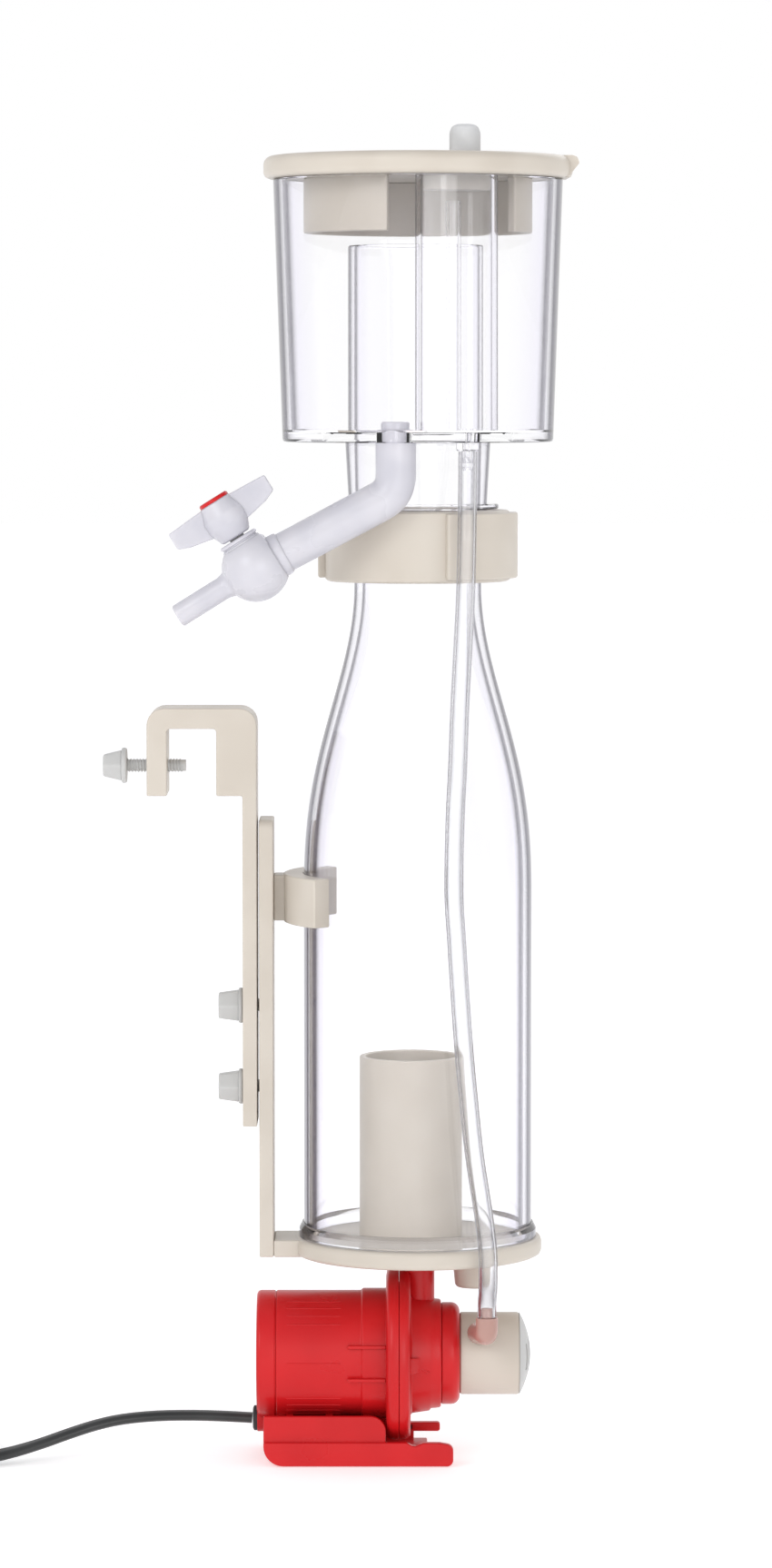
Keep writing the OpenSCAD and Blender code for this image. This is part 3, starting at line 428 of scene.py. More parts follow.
# %% Tone drift
drift_tree, drift_in, drift_out = effect_group(
    "tone_drift",
    [("Vector", "NodeSocketVector", None), ("Scale", "NodeSocketFloat", 60.0),
     ("Main", "NodeSocketColor", (0.8, 0.8, 0.8, 1)), ("Drift", "NodeSocketColor", (0.7, 0.7, 0.7, 1))],
    [("Color", "NodeSocketColor")],
)
drift_noise = drift_tree.nodes.new("ShaderNodeTexNoise")
drift_noise.inputs["Detail"].default_value = 1
drift_mix = drift_tree.nodes.new("ShaderNodeMix")
drift_mix.data_type = "RGBA"
drift_span = drift_tree.nodes.new("ShaderNodeMapRange")
drift_span.interpolation_type = "SMOOTHERSTEP"
drift_span.inputs["From Min"].default_value = 0.2
drift_span.inputs["From Max"].default_value = 0.8
drift_tree.links.new(drift_in.outputs["Vector"], drift_noise.inputs["Vector"])
drift_tree.links.new(drift_in.outputs["Scale"], drift_noise.inputs["Scale"])
drift_tree.links.new(drift_noise.outputs["Fac"], drift_span.inputs["Value"])
drift_tree.links.new(drift_span.outputs["Result"], drift_mix.inputs["Factor"])
drift_tree.links.new(drift_in.outputs["Main"], drift_mix.inputs["A"])
drift_tree.links.new(drift_in.outputs["Drift"], drift_mix.inputs["B"])
drift_tree.links.new(drift_mix.outputs["Result"], drift_out.inputs["Color"])
print("tone drift:", len(drift_tree.nodes), "nodes")


# %% Fine grain
grain_tree, grain_in, grain_out = effect_group(
    "fine_grain",
    [("Vector", "NodeSocketVector", None), ("Scale", "NodeSocketFloat", 900.0),
     ("Smoothest", "NodeSocketFloat", 0.3), ("Roughest", "NodeSocketFloat", 0.45)],
    [("Height", "NodeSocketFloat"), ("Roughness", "NodeSocketFloat")],
)
grain_noise = grain_tree.nodes.new("ShaderNodeTexNoise")
grain_noise.inputs["Detail"].default_value = 4
wide_noise = grain_tree.nodes.new("ShaderNodeTexNoise")
wide_noise.inputs["Scale"].default_value = 45
wide_noise.inputs["Detail"].default_value = 5
grain_span = grain_tree.nodes.new("ShaderNodeMapRange")
grain_span.inputs["From Min"].default_value = 0.2
grain_span.inputs["From Max"].default_value = 0.8
grain_tree.links.new(grain_in.outputs["Vector"], grain_noise.inputs["Vector"])
grain_tree.links.new(grain_in.outputs["Scale"], grain_noise.inputs["Scale"])
grain_tree.links.new(grain_in.outputs["Vector"], wide_noise.inputs["Vector"])
grain_tree.links.new(wide_noise.outputs["Fac"], grain_span.inputs["Value"])
grain_tree.links.new(grain_in.outputs["Smoothest"], grain_span.inputs["To Min"])
grain_tree.links.new(grain_in.outputs["Roughest"], grain_span.inputs["To Max"])
grain_tree.links.new(grain_noise.outputs["Fac"], grain_out.inputs["Height"])
grain_tree.links.new(grain_span.outputs["Result"], grain_out.inputs["Roughness"])
print("fine grain:", len(grain_tree.nodes), "nodes")

# %% [markdown]
# ## Solid finishes
# Every opaque piece is injection moulded, pressed or cast, so one recipe serves them all: drifting colour,
# grain that drives both roughness and a faint bump, and a plain Principled shader. Only the numbers differ.
# Milky plastic also lets some light into itself, which subsurface scattering gives.


# %% Solid finish recipe
def solid_finish(name, main, drift, smooth, rough, drift_scale=60, grain=900, bump=0.05, metal=0.0,
                 inside=0.0, gloss=0.5):
    """An opaque finish between two colours and two roughnesses. inside is the share of light that gets in."""
    mat = bpy.data.materials.new(name)
    mat.use_nodes = True
    tree = mat.node_tree
    shader = tree.nodes["Principled BSDF"]
    place = tree.nodes.new("ShaderNodeTexCoord")
    tone = tree.nodes.new("ShaderNodeGroup")
    tone.node_tree = drift_tree
    tone.inputs["Scale"].default_value = drift_scale
    tone.inputs["Main"].default_value = (*main, 1)
    tone.inputs["Drift"].default_value = (*drift, 1)
    skin = tree.nodes.new("ShaderNodeGroup")
    skin.node_tree = grain_tree
    skin.inputs["Scale"].default_value = grain
    skin.inputs["Smoothest"].default_value = smooth
    skin.inputs["Roughest"].default_value = rough
    relief = tree.nodes.new("ShaderNodeBump")
    relief.inputs["Strength"].default_value = bump
    relief.inputs["Distance"].default_value = 0.0003
    tree.links.new(place.outputs["Object"], tone.inputs["Vector"])
    tree.links.new(place.outputs["Object"], skin.inputs["Vector"])
    tree.links.new(tone.outputs["Color"], shader.inputs["Base Color"])
    tree.links.new(skin.outputs["Roughness"], shader.inputs["Roughness"])
    tree.links.new(skin.outputs["Height"], relief.inputs["Height"])
    tree.links.new(relief.outputs["Normal"], shader.inputs["Normal"])
    shader.inputs["Metallic"].default_value = metal
    shader.inputs["Specular IOR Level"].default_value = gloss
    if inside:
        shader.inputs["Subsurface Weight"].default_value = inside
        shader.inputs["Subsurface Radius"].default_value = (1.0, 0.95, 0.9)
        shader.inputs["Subsurface Scale"].default_value = 0.002
    return mat


cream = solid_finish("cream_plastic", (0.605, 0.553, 0.483), (0.562, 0.508, 0.438), 0.34, 0.46, inside=0.12)
nylon = solid_finish("white_nylon", (0.56, 0.56, 0.55), (0.50, 0.50, 0.49), 0.38, 0.52, inside=0.2)
milky = solid_finish("milky_plastic", (0.62, 0.61, 0.65), (0.54, 0.535, 0.585), 0.22, 0.40, 90, inside=0.3)
red = solid_finish("red_plastic", (0.590, 0.011, 0.014), (0.525, 0.008, 0.011), 0.24, 0.36, gloss=0.3)
pink = solid_finish("pink_plastic", (0.50, 0.31, 0.27), (0.43, 0.25, 0.21), 0.18, 0.3, inside=0.3)
grey_foam = solid_finish("grey_foam", (0.66, 0.665, 0.67), (0.57, 0.575, 0.58), 0.6, 0.8, 160, 1400, 0.3)
black_rubber = solid_finish("black_rubber", (0.020, 0.020, 0.021), (0.030, 0.030, 0.031), 0.5, 0.7)
black_pvc = solid_finish("black_pvc", (0.018, 0.020, 0.020), (0.032, 0.034, 0.034), 0.28, 0.42)
print("solid finishes:", len(bpy.data.materials))

# %% Finishes of the hidden parts
magnet = solid_finish("magnet_plastic", (0.055, 0.055, 0.06), (0.085, 0.085, 0.09), 0.45, 0.6)
steel = solid_finish("steel_stack", (0.46, 0.47, 0.49), (0.38, 0.39, 0.41), 0.3, 0.5, metal=1.0)
copper = solid_finish(
    "copper_wire", (0.60, 0.26, 0.10), (0.48, 0.18, 0.06), 0.25, 0.4, grain=2500, bump=0.4, metal=0.9
)
resin = solid_finish("potting_resin", (0.030, 0.030, 0.034), (0.045, 0.045, 0.050), 0.15, 0.3)
ceramic = solid_finish("ceramic", (0.82, 0.82, 0.79), (0.76, 0.76, 0.73), 0.08, 0.16, bump=0.01)
plated = solid_finish("plated_pin", (0.62, 0.47, 0.20), (0.54, 0.40, 0.16), 0.15, 0.3, metal=1.0)
print("all solid finishes:", len(bpy.data.materials))

# %% [markdown]
# ## Clear acrylic
# A clear tube shows as two dark lines, each about as wide as its wall, with a soft lavender band inside
# them, because there the eye looks along the wall instead of through it. A pure glass shader needs dark
# cards beside the object to draw those lines. Layer Weight paints the lines and the band into the colour at
# grazing angles instead, as painted shade, so that they show from every side. Lamps are let straight
# through, since clear plastic hardly shades the floor.


# %% Clear finish recipe
def clear_finish(name, middle, shade_band, line, bend, smoothest, roughest, shade, weight=1.0,
                 stops=(0.3, 0.62, 0.73)):
    """A clear finish whose colour goes from middle to band to line as the surface turns away from the eye, as
    painted shade.
    """
    mat = bpy.data.materials.new(name)
    mat.use_nodes = True
    tree = mat.node_tree
    shader = tree.nodes["Principled BSDF"]
    out = tree.nodes["Material Output"]
    place = tree.nodes.new("ShaderNodeTexCoord")
    skin = tree.nodes.new("ShaderNodeGroup")
    skin.node_tree = grain_tree
    skin.inputs["Smoothest"].default_value = smoothest
    skin.inputs["Roughest"].default_value = roughest
    grazing = tree.nodes.new("ShaderNodeLayerWeight")
    grazing.inputs["Blend"].default_value = 0.5
    # Painted shade: this ramp darkens the colour towards the silhouette, for the lavender band and the dark line
    # along each wall.
    grazing_shade_ramp = tree.nodes.new("ShaderNodeValToRGB")
    grazing_shade_ramp.color_ramp.elements[0].position = stops[0]
    grazing_shade_ramp.color_ramp.elements[0].color = (*middle, 1)
    grazing_shade_ramp.color_ramp.elements[1].position = stops[2]
    grazing_shade_ramp.color_ramp.elements[1].color = (*line, 1)
    between = grazing_shade_ramp.color_ramp.elements.new(stops[1])
    between.color = (*shade_band, 1)
    tree.links.new(place.outputs["Object"], skin.inputs["Vector"])
    tree.links.new(skin.outputs["Roughness"], shader.inputs["Roughness"])
    tree.links.new(grazing.outputs["Facing"], grazing_shade_ramp.inputs[0])
    tree.links.new(grazing_shade_ramp.outputs["Color"], shader.inputs["Base Color"])
    shader.inputs["IOR"].default_value = bend
    shader.inputs["Transmission Weight"].default_value = weight
    path = tree.nodes.new("ShaderNodeLightPath")
    passing = tree.nodes.new("ShaderNodeBsdfTransparent")
    passing.inputs["Color"].default_value = (*shade, 1)
    mix = tree.nodes.new("ShaderNodeMixShader")
    tree.links.new(path.outputs["Is Shadow Ray"], mix.inputs["Fac"])
    tree.links.new(shader.outputs["BSDF"], mix.inputs[1])
    tree.links.new(passing.outputs["BSDF"], mix.inputs[2])
    tree.links.new(mix.outputs["Shader"], out.inputs["Surface"])
    return mat


# The band and line colours of both clear finishes are painted shade at grazing angles.
acrylic = clear_finish(
    "clear_acrylic", (0.995, 0.994, 0.999), (0.88, 0.862, 0.955), (0.016, 0.014, 0.024), 1.49, 0.0, 0.02,
    (0.96, 0.96, 0.98),
)
clear_hose = clear_finish(
    "clear_hose", (0.97, 0.97, 0.975), (0.80, 0.795, 0.81), (0.30, 0.30, 0.32), 1.25, 0.06, 0.14,
    (0.94, 0.94, 0.95), 0.96, (0.08, 0.3, 0.62),
)
print("clear finishes:", acrylic.name, clear_hose.name)

# %% [markdown]
# ## The airline
# A thin clear hose carries air from the cup's silencer down to the pump. It leaves a barb under the cup,
# lies close to the body and curves back to the elbow on the pump's nozzle. A curve with a round bevel would
# be quicker, but it would be a solid rod: sweeping an outer and an inner skin gives a hose with a real
# wall.

# %% Airline hose
hose_route = [
    (14.2, -26.5, 296.4), (14.2, -26.5, 290.5), (14.1, -28.4, 283), (13.9, -31.4, 272), (13.6, -32, 258),
    (12.9, -31.4, 242), (11.9, -31, 223), (11.3, -32, 206), (10.5, -34.4, 190), (10.2, -35.8, 170),
    (11, -36, 156), (11.8, -36, 143), (13.1, -36, 125), (14.4, -35.9, 111), (16.2, -35.6, 94),
    (18.8, -35.3, 77), (20.1, -34.9, 66), (20.2, -34.2, 60), (20.2, -31.2, 54.5), (20, -27.2, 49.5),
    (20, -27, 45.7),
]
hose_outer, hose_bore = 2.75, 2.0
hose_line = flowing(hose_route, 6)
hose_bm = bmesh.new()
swept(hose_bm, hose_line, hose_outer, hose_bore, sides=48)
airline = finished(hose_bm, "airline", "skimmer", clear_hose, ["airline_hose"], SOLID_ANGLE)

# %% [markdown]
# ## The power cord
# The pump's lead is a flat black twin cord. It leaves the motor low down, arches over to the floor, twists
# onto its edge and is wound into a neat coil with its plug beside it. The same ring is swept along one line
# for the whole length, because a cord is one piece. The coil winds inwards below, steps up and winds
# outwards on top.

# %% Route of the cord
lead_route = [
    (-48.8, 0, 11.2, 0), (-56, 0, 11.6, 0), (-66, 0, 11.9, 0), (-77, -0.5, 11.8, 0), (-87, -1.5, 11, 0),
    (-95, -3, 9.5, 0), (-103, -5.3, 7.3, 0), (-112, -8.8, 4.7, 0), (-122, -13.8, 2.8, 10),
    (-133, -20.4, 2.4, 35), (-145, -26.4, 2.6, 65), (-155, -28.9, 2.75, 85), (-165, -29.7, 2.8, 90),
]
tail_route = [(-200.7, 6, 8.1, 90), (-200.8, 13, 8.1, 90), (-201, 20, 8.3, 90), (-201, 26.9, 8.5, 90)]
coil_centre = Vector((-165, 6))
coil_radius, coil_step, coil_turns, climb_turns = 35.7, 3.4, 7.25, 0.3
layer_turns = (coil_turns - climb_turns) / 2
low_z, high_z = 2.8, 8.1


def coil_point(turn):
    """A point of the coil after a number of turns, going clockwise from its south side."""
    inwards = min(turn, layer_turns)
    outwards = max(0.0, turn - layer_turns - climb_turns)
    climb = min(max((turn - layer_turns) / climb_turns, 0.0), 1.0)
    radius = coil_radius - coil_step * (inwards - outwards)
    angle = math.radians(-90 - 360 * turn)
    return (
        coil_centre.x + radius * math.cos(angle), coil_centre.y + radius * math.sin(angle),
        low_z + (high_z - low_z) * (3 - 2 * climb) * climb * climb, 90,
    )


coil_parts, lead_parts = 174, 3
coil_points = [coil_point(coil_turns * k / coil_parts) for k in range(coil_parts + 1)]
lead_fine = flowing([p[:3] for p in lead_route], lead_parts)
lead_rolls = [p[3] for p in lead_route]


def lead_roll(k):
    """The roll at a point of the finer lead, evenly between those of the route."""
    before = lead_rolls[min(k // lead_parts, len(lead_rolls) - 1)]
    after = lead_rolls[min(k // lead_parts + 1, len(lead_rolls) - 1)]
    return before + (after - before) * (k % lead_parts) / lead_parts


roll_fine = [lead_roll(k) for k in range(len(lead_fine))]
cord_line = lead_fine + [Vector(p[:3]) for p in coil_points[1:]]
cord_line += flowing([p[:3] for p in tail_route], 2)[1:]
cord_rolls = roll_fine + [90] * (len(cord_line) - len(roll_fine))
cord_length = sum((b - a).length for a, b in zip(cord_line, cord_line[1:])) * MM
print(f"cord: {len(cord_line)} points, {cord_length:.3f} m long")

# %% Cord, tie and plug
cord_half_wide, cord_half_thick = 2.6, 1.6
cord_bm = bmesh.new()
cord_frames = ring_frames(cord_line, cord_rolls)
cord_ends = swept_skin(cord_bm, cord_frames, cord_half_wide, cord_half_thick, 16, groove=0.22)
bmesh.ops.holes_fill(cord_bm, edges=cord_ends[0] + cord_ends[1], sides=0)
power_cord = finished(
    cord_bm, "power_cord", "skimmer", black_pvc, ["cord_lead", "cord_coil", "cord_tail"]
)

tie_bm = bmesh.new()
tie_frame = at(coil_centre.x, coil_centre.y, 0) @ Matrix.Rotation(math.radians(45), 4, "Z")
tie_outline = [
    (21.3, 0.2), (22.2, 0.2), (22.2, 10.8), (37.4, 10.8), (37.4, 0.2), (38.3, 0.2), (38.3, 11.7),
    (21.3, 11.7),
]
plate(tie_bm, tie_outline, -2.5, 2.5, tie_frame @ SIDE_ON, {6: 1.4, 7: 1.4, 2: 0.6, 3: 0.6}, 4)
cord_tie = finished(tie_bm, "cord_tie_strap", "skimmer", black_rubber, ["cord_tie"])

plug_bm = bmesh.new()
plug_frame = at(-201, 27, 8.5) @ Matrix.Rotation(math.radians(-90), 4, "X")
relief_profile = [(0, 0), (3.3, 0)]
for ridge in range(4):
    wider, further = 0.35 * ridge, 2.6 * ridge
    relief_profile += [(3.5 + wider, 1 + further), (3.5 + wider, 2.4 + further),
                       (3.1 + wider, 2.6 + further), (3.1 + wider, 3.4 + further)]
relief_profile += [(4.9, 11.6), (0, 11.6)]
turned(plug_bm, relief_profile, plug_frame, 32)
plate(plug_bm, box_outline(-9, -8.4, 9, 8.4), 11, 17, plug_frame, all_corners(3))
plate(plug_bm, box_outline(-12.5, -8.4, 12.5, 8.4), 16, 36, plug_frame, all_corners(4))
soften(plug_bm, 0.7, 2, 40)
plug = finished(plug_bm, "plug", "skimmer", black_pvc, ["plug_body"])

pins_bm = bmesh.new()
for side in (-6.35, 6.35):
    plate(pins_bm, box_outline(side - 0.75, -3.2, side + 0.75, 3.2), 36, 52.5, plug_frame)
soften(pins_bm, 0.3, 2)
pins = finished(pins_bm, "plug_blades", "skimmer", plated, ["plug_pins"])

# %% [markdown]
# ## The clear body
# The body is one blown tube: straight for half its height, then drawn in to a neck like a bottle. A profile
# spun round the axis gives both the outer and the inner skin, so that light really passes two walls. The
# shoulder follows a cosine, which leaves the straight part without a visible corner.

# %% Body tube
body_low, body_high = mm_box("body_tube")
body_r, neck_r, wall = body_high.x, 18.6, 2.4
shoulder_z, neck_z, shoulder_parts = 165, 257, 36


def shoulder_radius(t):
    """The outside radius at a share of the way up the shoulder."""
    return neck_r + (body_r - neck_r) * (1 + math.cos(math.pi * t ** 1.3)) / 2


def body_skin(inset):
    """Points from the foot to the neck, moved inwards by an inset."""
    shoulder = [
        (shoulder_radius(k / shoulder_parts) - inset, shoulder_z + (neck_z - shoulder_z) * k / shoulder_parts)
        for k in range(shoulder_parts + 1)
    ]
    straight = [(body_r - inset, body_low.z + (shoulder_z - body_low.z) * k / 6) for k in range(6)]
    return straight + shoulder + [(neck_r - inset, body_high.z)]


body_bm = bmesh.new()
turned(body_bm, body_skin(0) + body_skin(wall)[::-1], steps=144)
soften(body_bm, 0.35, 2, 60)
finished(body_bm, "bottle_body", "skimmer", acrylic, ["body_tube"])

foot_ring_bm = bmesh.new()
foot_low, foot_high = mm_box("tube_foot_ring")
turned(
    foot_ring_bm,
    [(body_r + 0.03, foot_low.z), (foot_high.x, foot_low.z), (foot_high.x, foot_low.z + 2.4),
     (foot_high.x - 0.5, foot_low.z + 3.4), (body_r + 0.5, foot_high.z), (body_r + 0.03, foot_high.z)],
    steps=144,
)
finished(foot_ring_bm, "glued_foot_ring", "skimmer", acrylic, ["tube_foot_ring"])

# %% [markdown]
# ## Bubble riser and base
# Inside the body an open cream pipe leads the pump's froth upwards. It stands on the base plate, a thick
# disc with an arm to the left that carries the bracket, and an outlet stub hangs below. The disc is turned
# and the arm is a plate that runs into it, as the mould makes them.

# %% Bubble riser
riser_low, riser_high = mm_box("bubble_riser")
riser_x, riser_outer = (riser_low.x + riser_high.x) / 2, (riser_high.x - riser_low.x) / 2
riser_inner = riser_outer - 1.8
bubble_bm = bmesh.new()
turned(
    bubble_bm,
    [(riser_inner, riser_low.z), (riser_outer, riser_low.z), (riser_outer, riser_high.z),
     (riser_inner, riser_high.z)],
    at(riser_x, 0, 0),
)
soften(bubble_bm, 0.4, 3)
finished(bubble_bm, "froth_pipe", "skimmer", cream, ["bubble_riser"])

# %% Base plate and outlet stub
base_low, base_high = mm_box("base_plate")
base_r, arm_half_wide = base_high.x, 10
base_bm = bmesh.new()
turned(
    base_bm,
    [(5.0, base_low.z + 2.8), (6.4, base_low.z + 2.8), (6.4, base_low.z), (base_r - 1.2, base_low.z),
     (base_r - 0.4, base_low.z + 0.4), (base_r, base_low.z + 1.4), (base_r, base_high.z - 1.4),
     (base_r - 0.4, base_high.z - 0.4), (base_r - 1.2, base_high.z), (5.0, base_high.z)],
    UPRIGHT, 144,
)
arm_outline = box_outline(base_low.x, -arm_half_wide, -32, arm_half_wide)
plate(base_bm, arm_outline, base_low.z, base_high.z - 0.3)
soften(base_bm, 0.5, 2, 60)
finished(base_bm, "base", "skimmer", cream, ["base_plate"])

stub_low, stub_high = mm_box("outlet_stub")
stub_bm = bmesh.new()
turned(
    stub_bm,
    [(3.6, stub_low.z), (5.2, stub_low.z), (5.8, stub_low.z + 0.8), (6.6, stub_high.z - 0.4),
     (6.7, stub_high.z), (3.6, stub_high.z)],
    at((stub_low.x + stub_high.x) / 2, 0, 0), 64,
)
soften(stub_bm, 0.25, 2)
finished(stub_bm, "water_outlet_stub", "skimmer", cream, ["outlet_stub"])

# %% [markdown]
# ## Bracket, clip and hook
# Two flat plates slide on each other to set how deep the skimmer hangs. The inner one is fixed to the base
# and clipped round the body, and the outer one is bent over into the hook that sits on the tank's rim. They
# are plates with a few rounded corners, and every edge is softened a little, as on sheet plastic that was
# filed.

# %% Bracket plate
bracket_low, bracket_high = mm_box("bracket_plate")
bracket_bm = bmesh.new()
bracket_outline = box_outline(-arm_half_wide, bracket_low.z, arm_half_wide, bracket_high.z)
plate(bracket_bm, bracket_outline, bracket_low.x, bracket_high.x, FACE_ON, {2: 3, 3: 3})
soften(bracket_bm, 0.45, 2)
finished(bracket_bm, "fixed_bracket", "skimmer", cream, ["bracket_plate"])

# %% Body clip
clip_low, clip_high = mm_box("body_clip")
clip_bm = bmesh.new()
turned(
    clip_bm,
    [(33.6, clip_low.z), (39.4, clip_low.z), (39.4, clip_high.z), (33.6, clip_high.z)],
    steps=28, sweep=80.8, start=139.6,
)
plate(clip_bm, box_outline(clip_low.x, -5, -36, 5), clip_low.z + 0.4, clip_high.z - 0.4)
soften(clip_bm, 0.45, 2)
finished(clip_bm, "tube_clip", "skimmer", cream, ["body_clip"])

# %% Hook plate
hook_low, hook_high = mm_box("hook_plate")
leg_z, bar_z, rim_gap = 196, 215.6, 14.4
plate_left, gap_right = hook_high.x - 4.2, hook_high.x - 11.8
gap_left = gap_right - rim_gap
hook_outline = [
    (plate_left, hook_low.z), (hook_high.x, hook_low.z), (hook_high.x, hook_high.z),
    (hook_low.x, hook_high.z), (hook_low.x, leg_z), (gap_left, leg_z), (gap_left, bar_z), (gap_right, bar_z),
    (gap_right, leg_z), (plate_left, leg_z),
]
hook_bm = bmesh.new()
plate(hook_bm, hook_outline, -arm_half_wide, arm_half_wide, SIDE_ON, {2: 5, 3: 5, 6: 1, 7: 1})
soften(hook_bm, 0.4, 2, 40)
hook = finished(hook_bm, "rim_hook", "hook", cream, ["hook_plate"])
slot_bm = bmesh.new()
plate(
    slot_bm, box_outline(-2.3, 104, 2.3, 186), hook_high.x - 6, hook_high.x + 2, FACE_ON, all_corners(2.29)
)
screw_hole = along((gap_left - 3, 0, 204.4), (1, 0, 0))
turned(slot_bm, [(0, -12), (2.05, -12), (2.05, 12), (0, 12)], screw_hole, 48)
cut_out(hook, slot_bm)
print("hook after cutting:", len(hook.data.polygons), "faces")

# %% [markdown]
# ## Nylon screws and nuts
# The screws are white nylon with a rolled thread. A thread is a small tooth swept round the rod while it
# climbs, and the spin operator does that when it is given a step along the axis. Nuts and screw heads are
# six-sided cones, which is what lets wet fingers turn them.


# %% Threaded rod
def threaded_rod(bm, radius, length, frame, pitch=0.9):
    """A rod with a real helical thread, drawn along Z from 0. The tooth's root is sunk into the rod."""
    depth, sunk, turn_steps = 0.3, 0.1, 20
    turned(bm, [(0, 0), (radius - depth, 0), (radius - depth, length), (0, length)], frame, 32)
    old = set(bm.verts)
    root = radius - depth - sunk
    tooth = [(root, 0.0), (radius, pitch * 0.38), (radius, pitch * 0.5), (root, pitch * 0.88)]
    verts = [bm.verts.new((r, 0, z)) for r, z in tooth]
    edges = [bm.edges.new(pair) for pair in zip(verts, verts[1:] + verts[:1])]
    turns = int((length - pitch) / pitch)
    bmesh.ops.spin(
        bm, geom=verts + edges, cent=(0, 0, 0), axis=(0, 0, 1), dvec=(0, 0, pitch / turn_steps),
        angle=math.radians(360 * turns), steps=turn_steps * turns, use_merge=False,
    )
    new = [v for v in bm.verts if v not in old]
    rim = {e for v in new for e in v.link_edges if e.is_boundary}
    bmesh.ops.holes_fill(bm, edges=list(rim), sides=0)
    bmesh.ops.transform(bm, matrix=frame, verts=new)


studs_bm = bmesh.new()
screw_r = 1.98
nut_heights = [133.7, 109.8]
stud_low, stud_high = mm_box("slot_studs")
for height in nut_heights:
    threaded_rod(studs_bm, screw_r, stud_high.x - stud_low.x, along((stud_low.x, 0, height), (1, 0, 0)))
finished(studs_bm, "slot_screws", "skimmer", nylon, ["slot_studs"])


# %% Thumb nuts
def hex_knob(bm, frame, wide, narrow, length, flange, bore=0.0):
    """A six-sided cone on a round flange, drawn along Z from its wide end, with a bore through both."""
    turned(bm, [(bore, 0), (wide, 0), (wide, flange), (bore, flange)], frame, 48)
    rings = []
    for height, outer in ((flange - 0.1, wide - 0.1), (length, narrow)):
        hexagon = bmesh.ops.create_circle(bm, segments=6, radius=outer, cap_ends=False)["verts"]
        sides = list({e for v in hexagon for e in v.link_edges})
        split = bmesh.ops.subdivide_edges(bm, edges=sides, cuts=3)["geom_split"]
        split_edges = {e for e in split if isinstance(e, bmesh.types.BMEdge)}
        outside = list(split_edges | {e for e in sides if e.is_valid})
        hole = bmesh.ops.create_circle(bm, segments=24, radius=max(bore, 0.5), cap_ends=False)["verts"]
        inside = list({e for v in hole for e in v.link_edges})
        drawn = list({v for e in outside + inside for v in e.verts})
        bmesh.ops.translate(bm, vec=(0, 0, height), verts=drawn)
        bmesh.ops.transform(bm, matrix=frame, verts=drawn)
        bmesh.ops.bridge_loops(bm, edges=outside + inside)
        rings.append((outside, inside))
    bmesh.ops.bridge_loops(bm, edges=rings[0][0] + rings[1][0])
    bmesh.ops.bridge_loops(bm, edges=rings[0][1] + rings[1][1])


for title, height in zip(("upper", "lower"), nut_heights):
    nut_low, nut_high = mm_box(f"{title}_nut")
    nut_bm = bmesh.new()
    nut_frame = along((nut_high.x, 0, height), (-1, 0, 0))
    hex_knob(nut_bm, nut_frame, 5.2, 4.2, nut_high.x - nut_low.x, 1.2, 2.05)
    soften(nut_bm, 0.35, 2)
    finished(nut_bm, f"{title}_thumb_nut", f"{title}_nut", nylon, [f"{title}_nut"])

# %% Rim screw
screw_low, screw_high = mm_box("rim_screw")
screw_z = (screw_low.z + screw_high.z) / 2
head_long, rod_start = 7, screw_low.x + 6.4
screw_bm = bmesh.new()
hex_knob(screw_bm, along((screw_low.x + head_long, 0, screw_z), (-1, 0, 0)), 5.2, 3.6, head_long, 1.6)
soften(screw_bm, 0.5, 2)
threaded_rod(screw_bm, screw_r, screw_high.x - rod_start, along((rod_start, 0, screw_z), (1, 0, 0)))
finished(screw_bm, "rim_thumb_screw", "rim_screw", nylon, ["rim_screw"])

# %% [markdown]
# ## The union under the cup
# The cup's neck drops into a fixed socket, and a ring with two grip lugs squeezes a seal round it. The ring
# and each lug are turned shapes, the lugs only through part of a turn. Their edges are rounded generously,
# since this is what the hand holds.

# %% Neck socket and seal
socket_bm = bmesh.new()
turned(
    socket_bm,
    [(18.62, 258.6), (24.3, 258.6), (24.3, 275.1), (20.25, 275.1), (20.25, 266.2), (17.0, 266.2),
     (17.0, 264), (18.62, 264)],
)
soften(socket_bm, 0.3, 2, 60)
finished(socket_bm, "union_socket", "skimmer", cream, ["neck_socket"])

seal_bm = bmesh.new()
seal_sides = 20
turned(seal_bm, arc(21.55, 276.4, 1.3, 0, 360 - 360 / seal_sides, seal_sides - 1))
finished(seal_bm, "union_seal", "skimmer", black_rubber, ["neck_seal"])

# %% Collar
collar_low, collar_high = mm_box("collar_ring")
collar_bm = bmesh.new()
turned(
    collar_bm,
    [(24.6, collar_low.z), (26.4, collar_low.z), (27, collar_low.z + 0.8), (27, collar_high.z - 0.8),
     (26.4, collar_high.z), (20.9, collar_high.z), (20.9, collar_high.z - 1.3), (24.6, collar_high.z - 1.3)],
    steps=120,
)
lug_low, lug_high = collar_low.z + 1, collar_high.z - 0.6
for first_angle in (-73, 107):
    turned(
        collar_bm, [(26, lug_low), (29.2, lug_low), (29.2, lug_high), (26, lug_high)],
        steps=24, sweep=75, start=first_angle,
    )
soften(collar_bm, 0.7, 3, 50)
finished(collar_bm, "union_collar", "collar", cream, ["collar_ring"])

# %% [markdown]
# ## The collection cup
# The cup, its central riser and its neck are separate clear parts glued to one plate. Each is a closed
# solid of its own with polished rims. The silencer is a flattened tube, so a circle is pulled apart into a
# stadium, inset to make its wall and pushed up. The plate gets real holes where the drain and the air barb
# pass through.

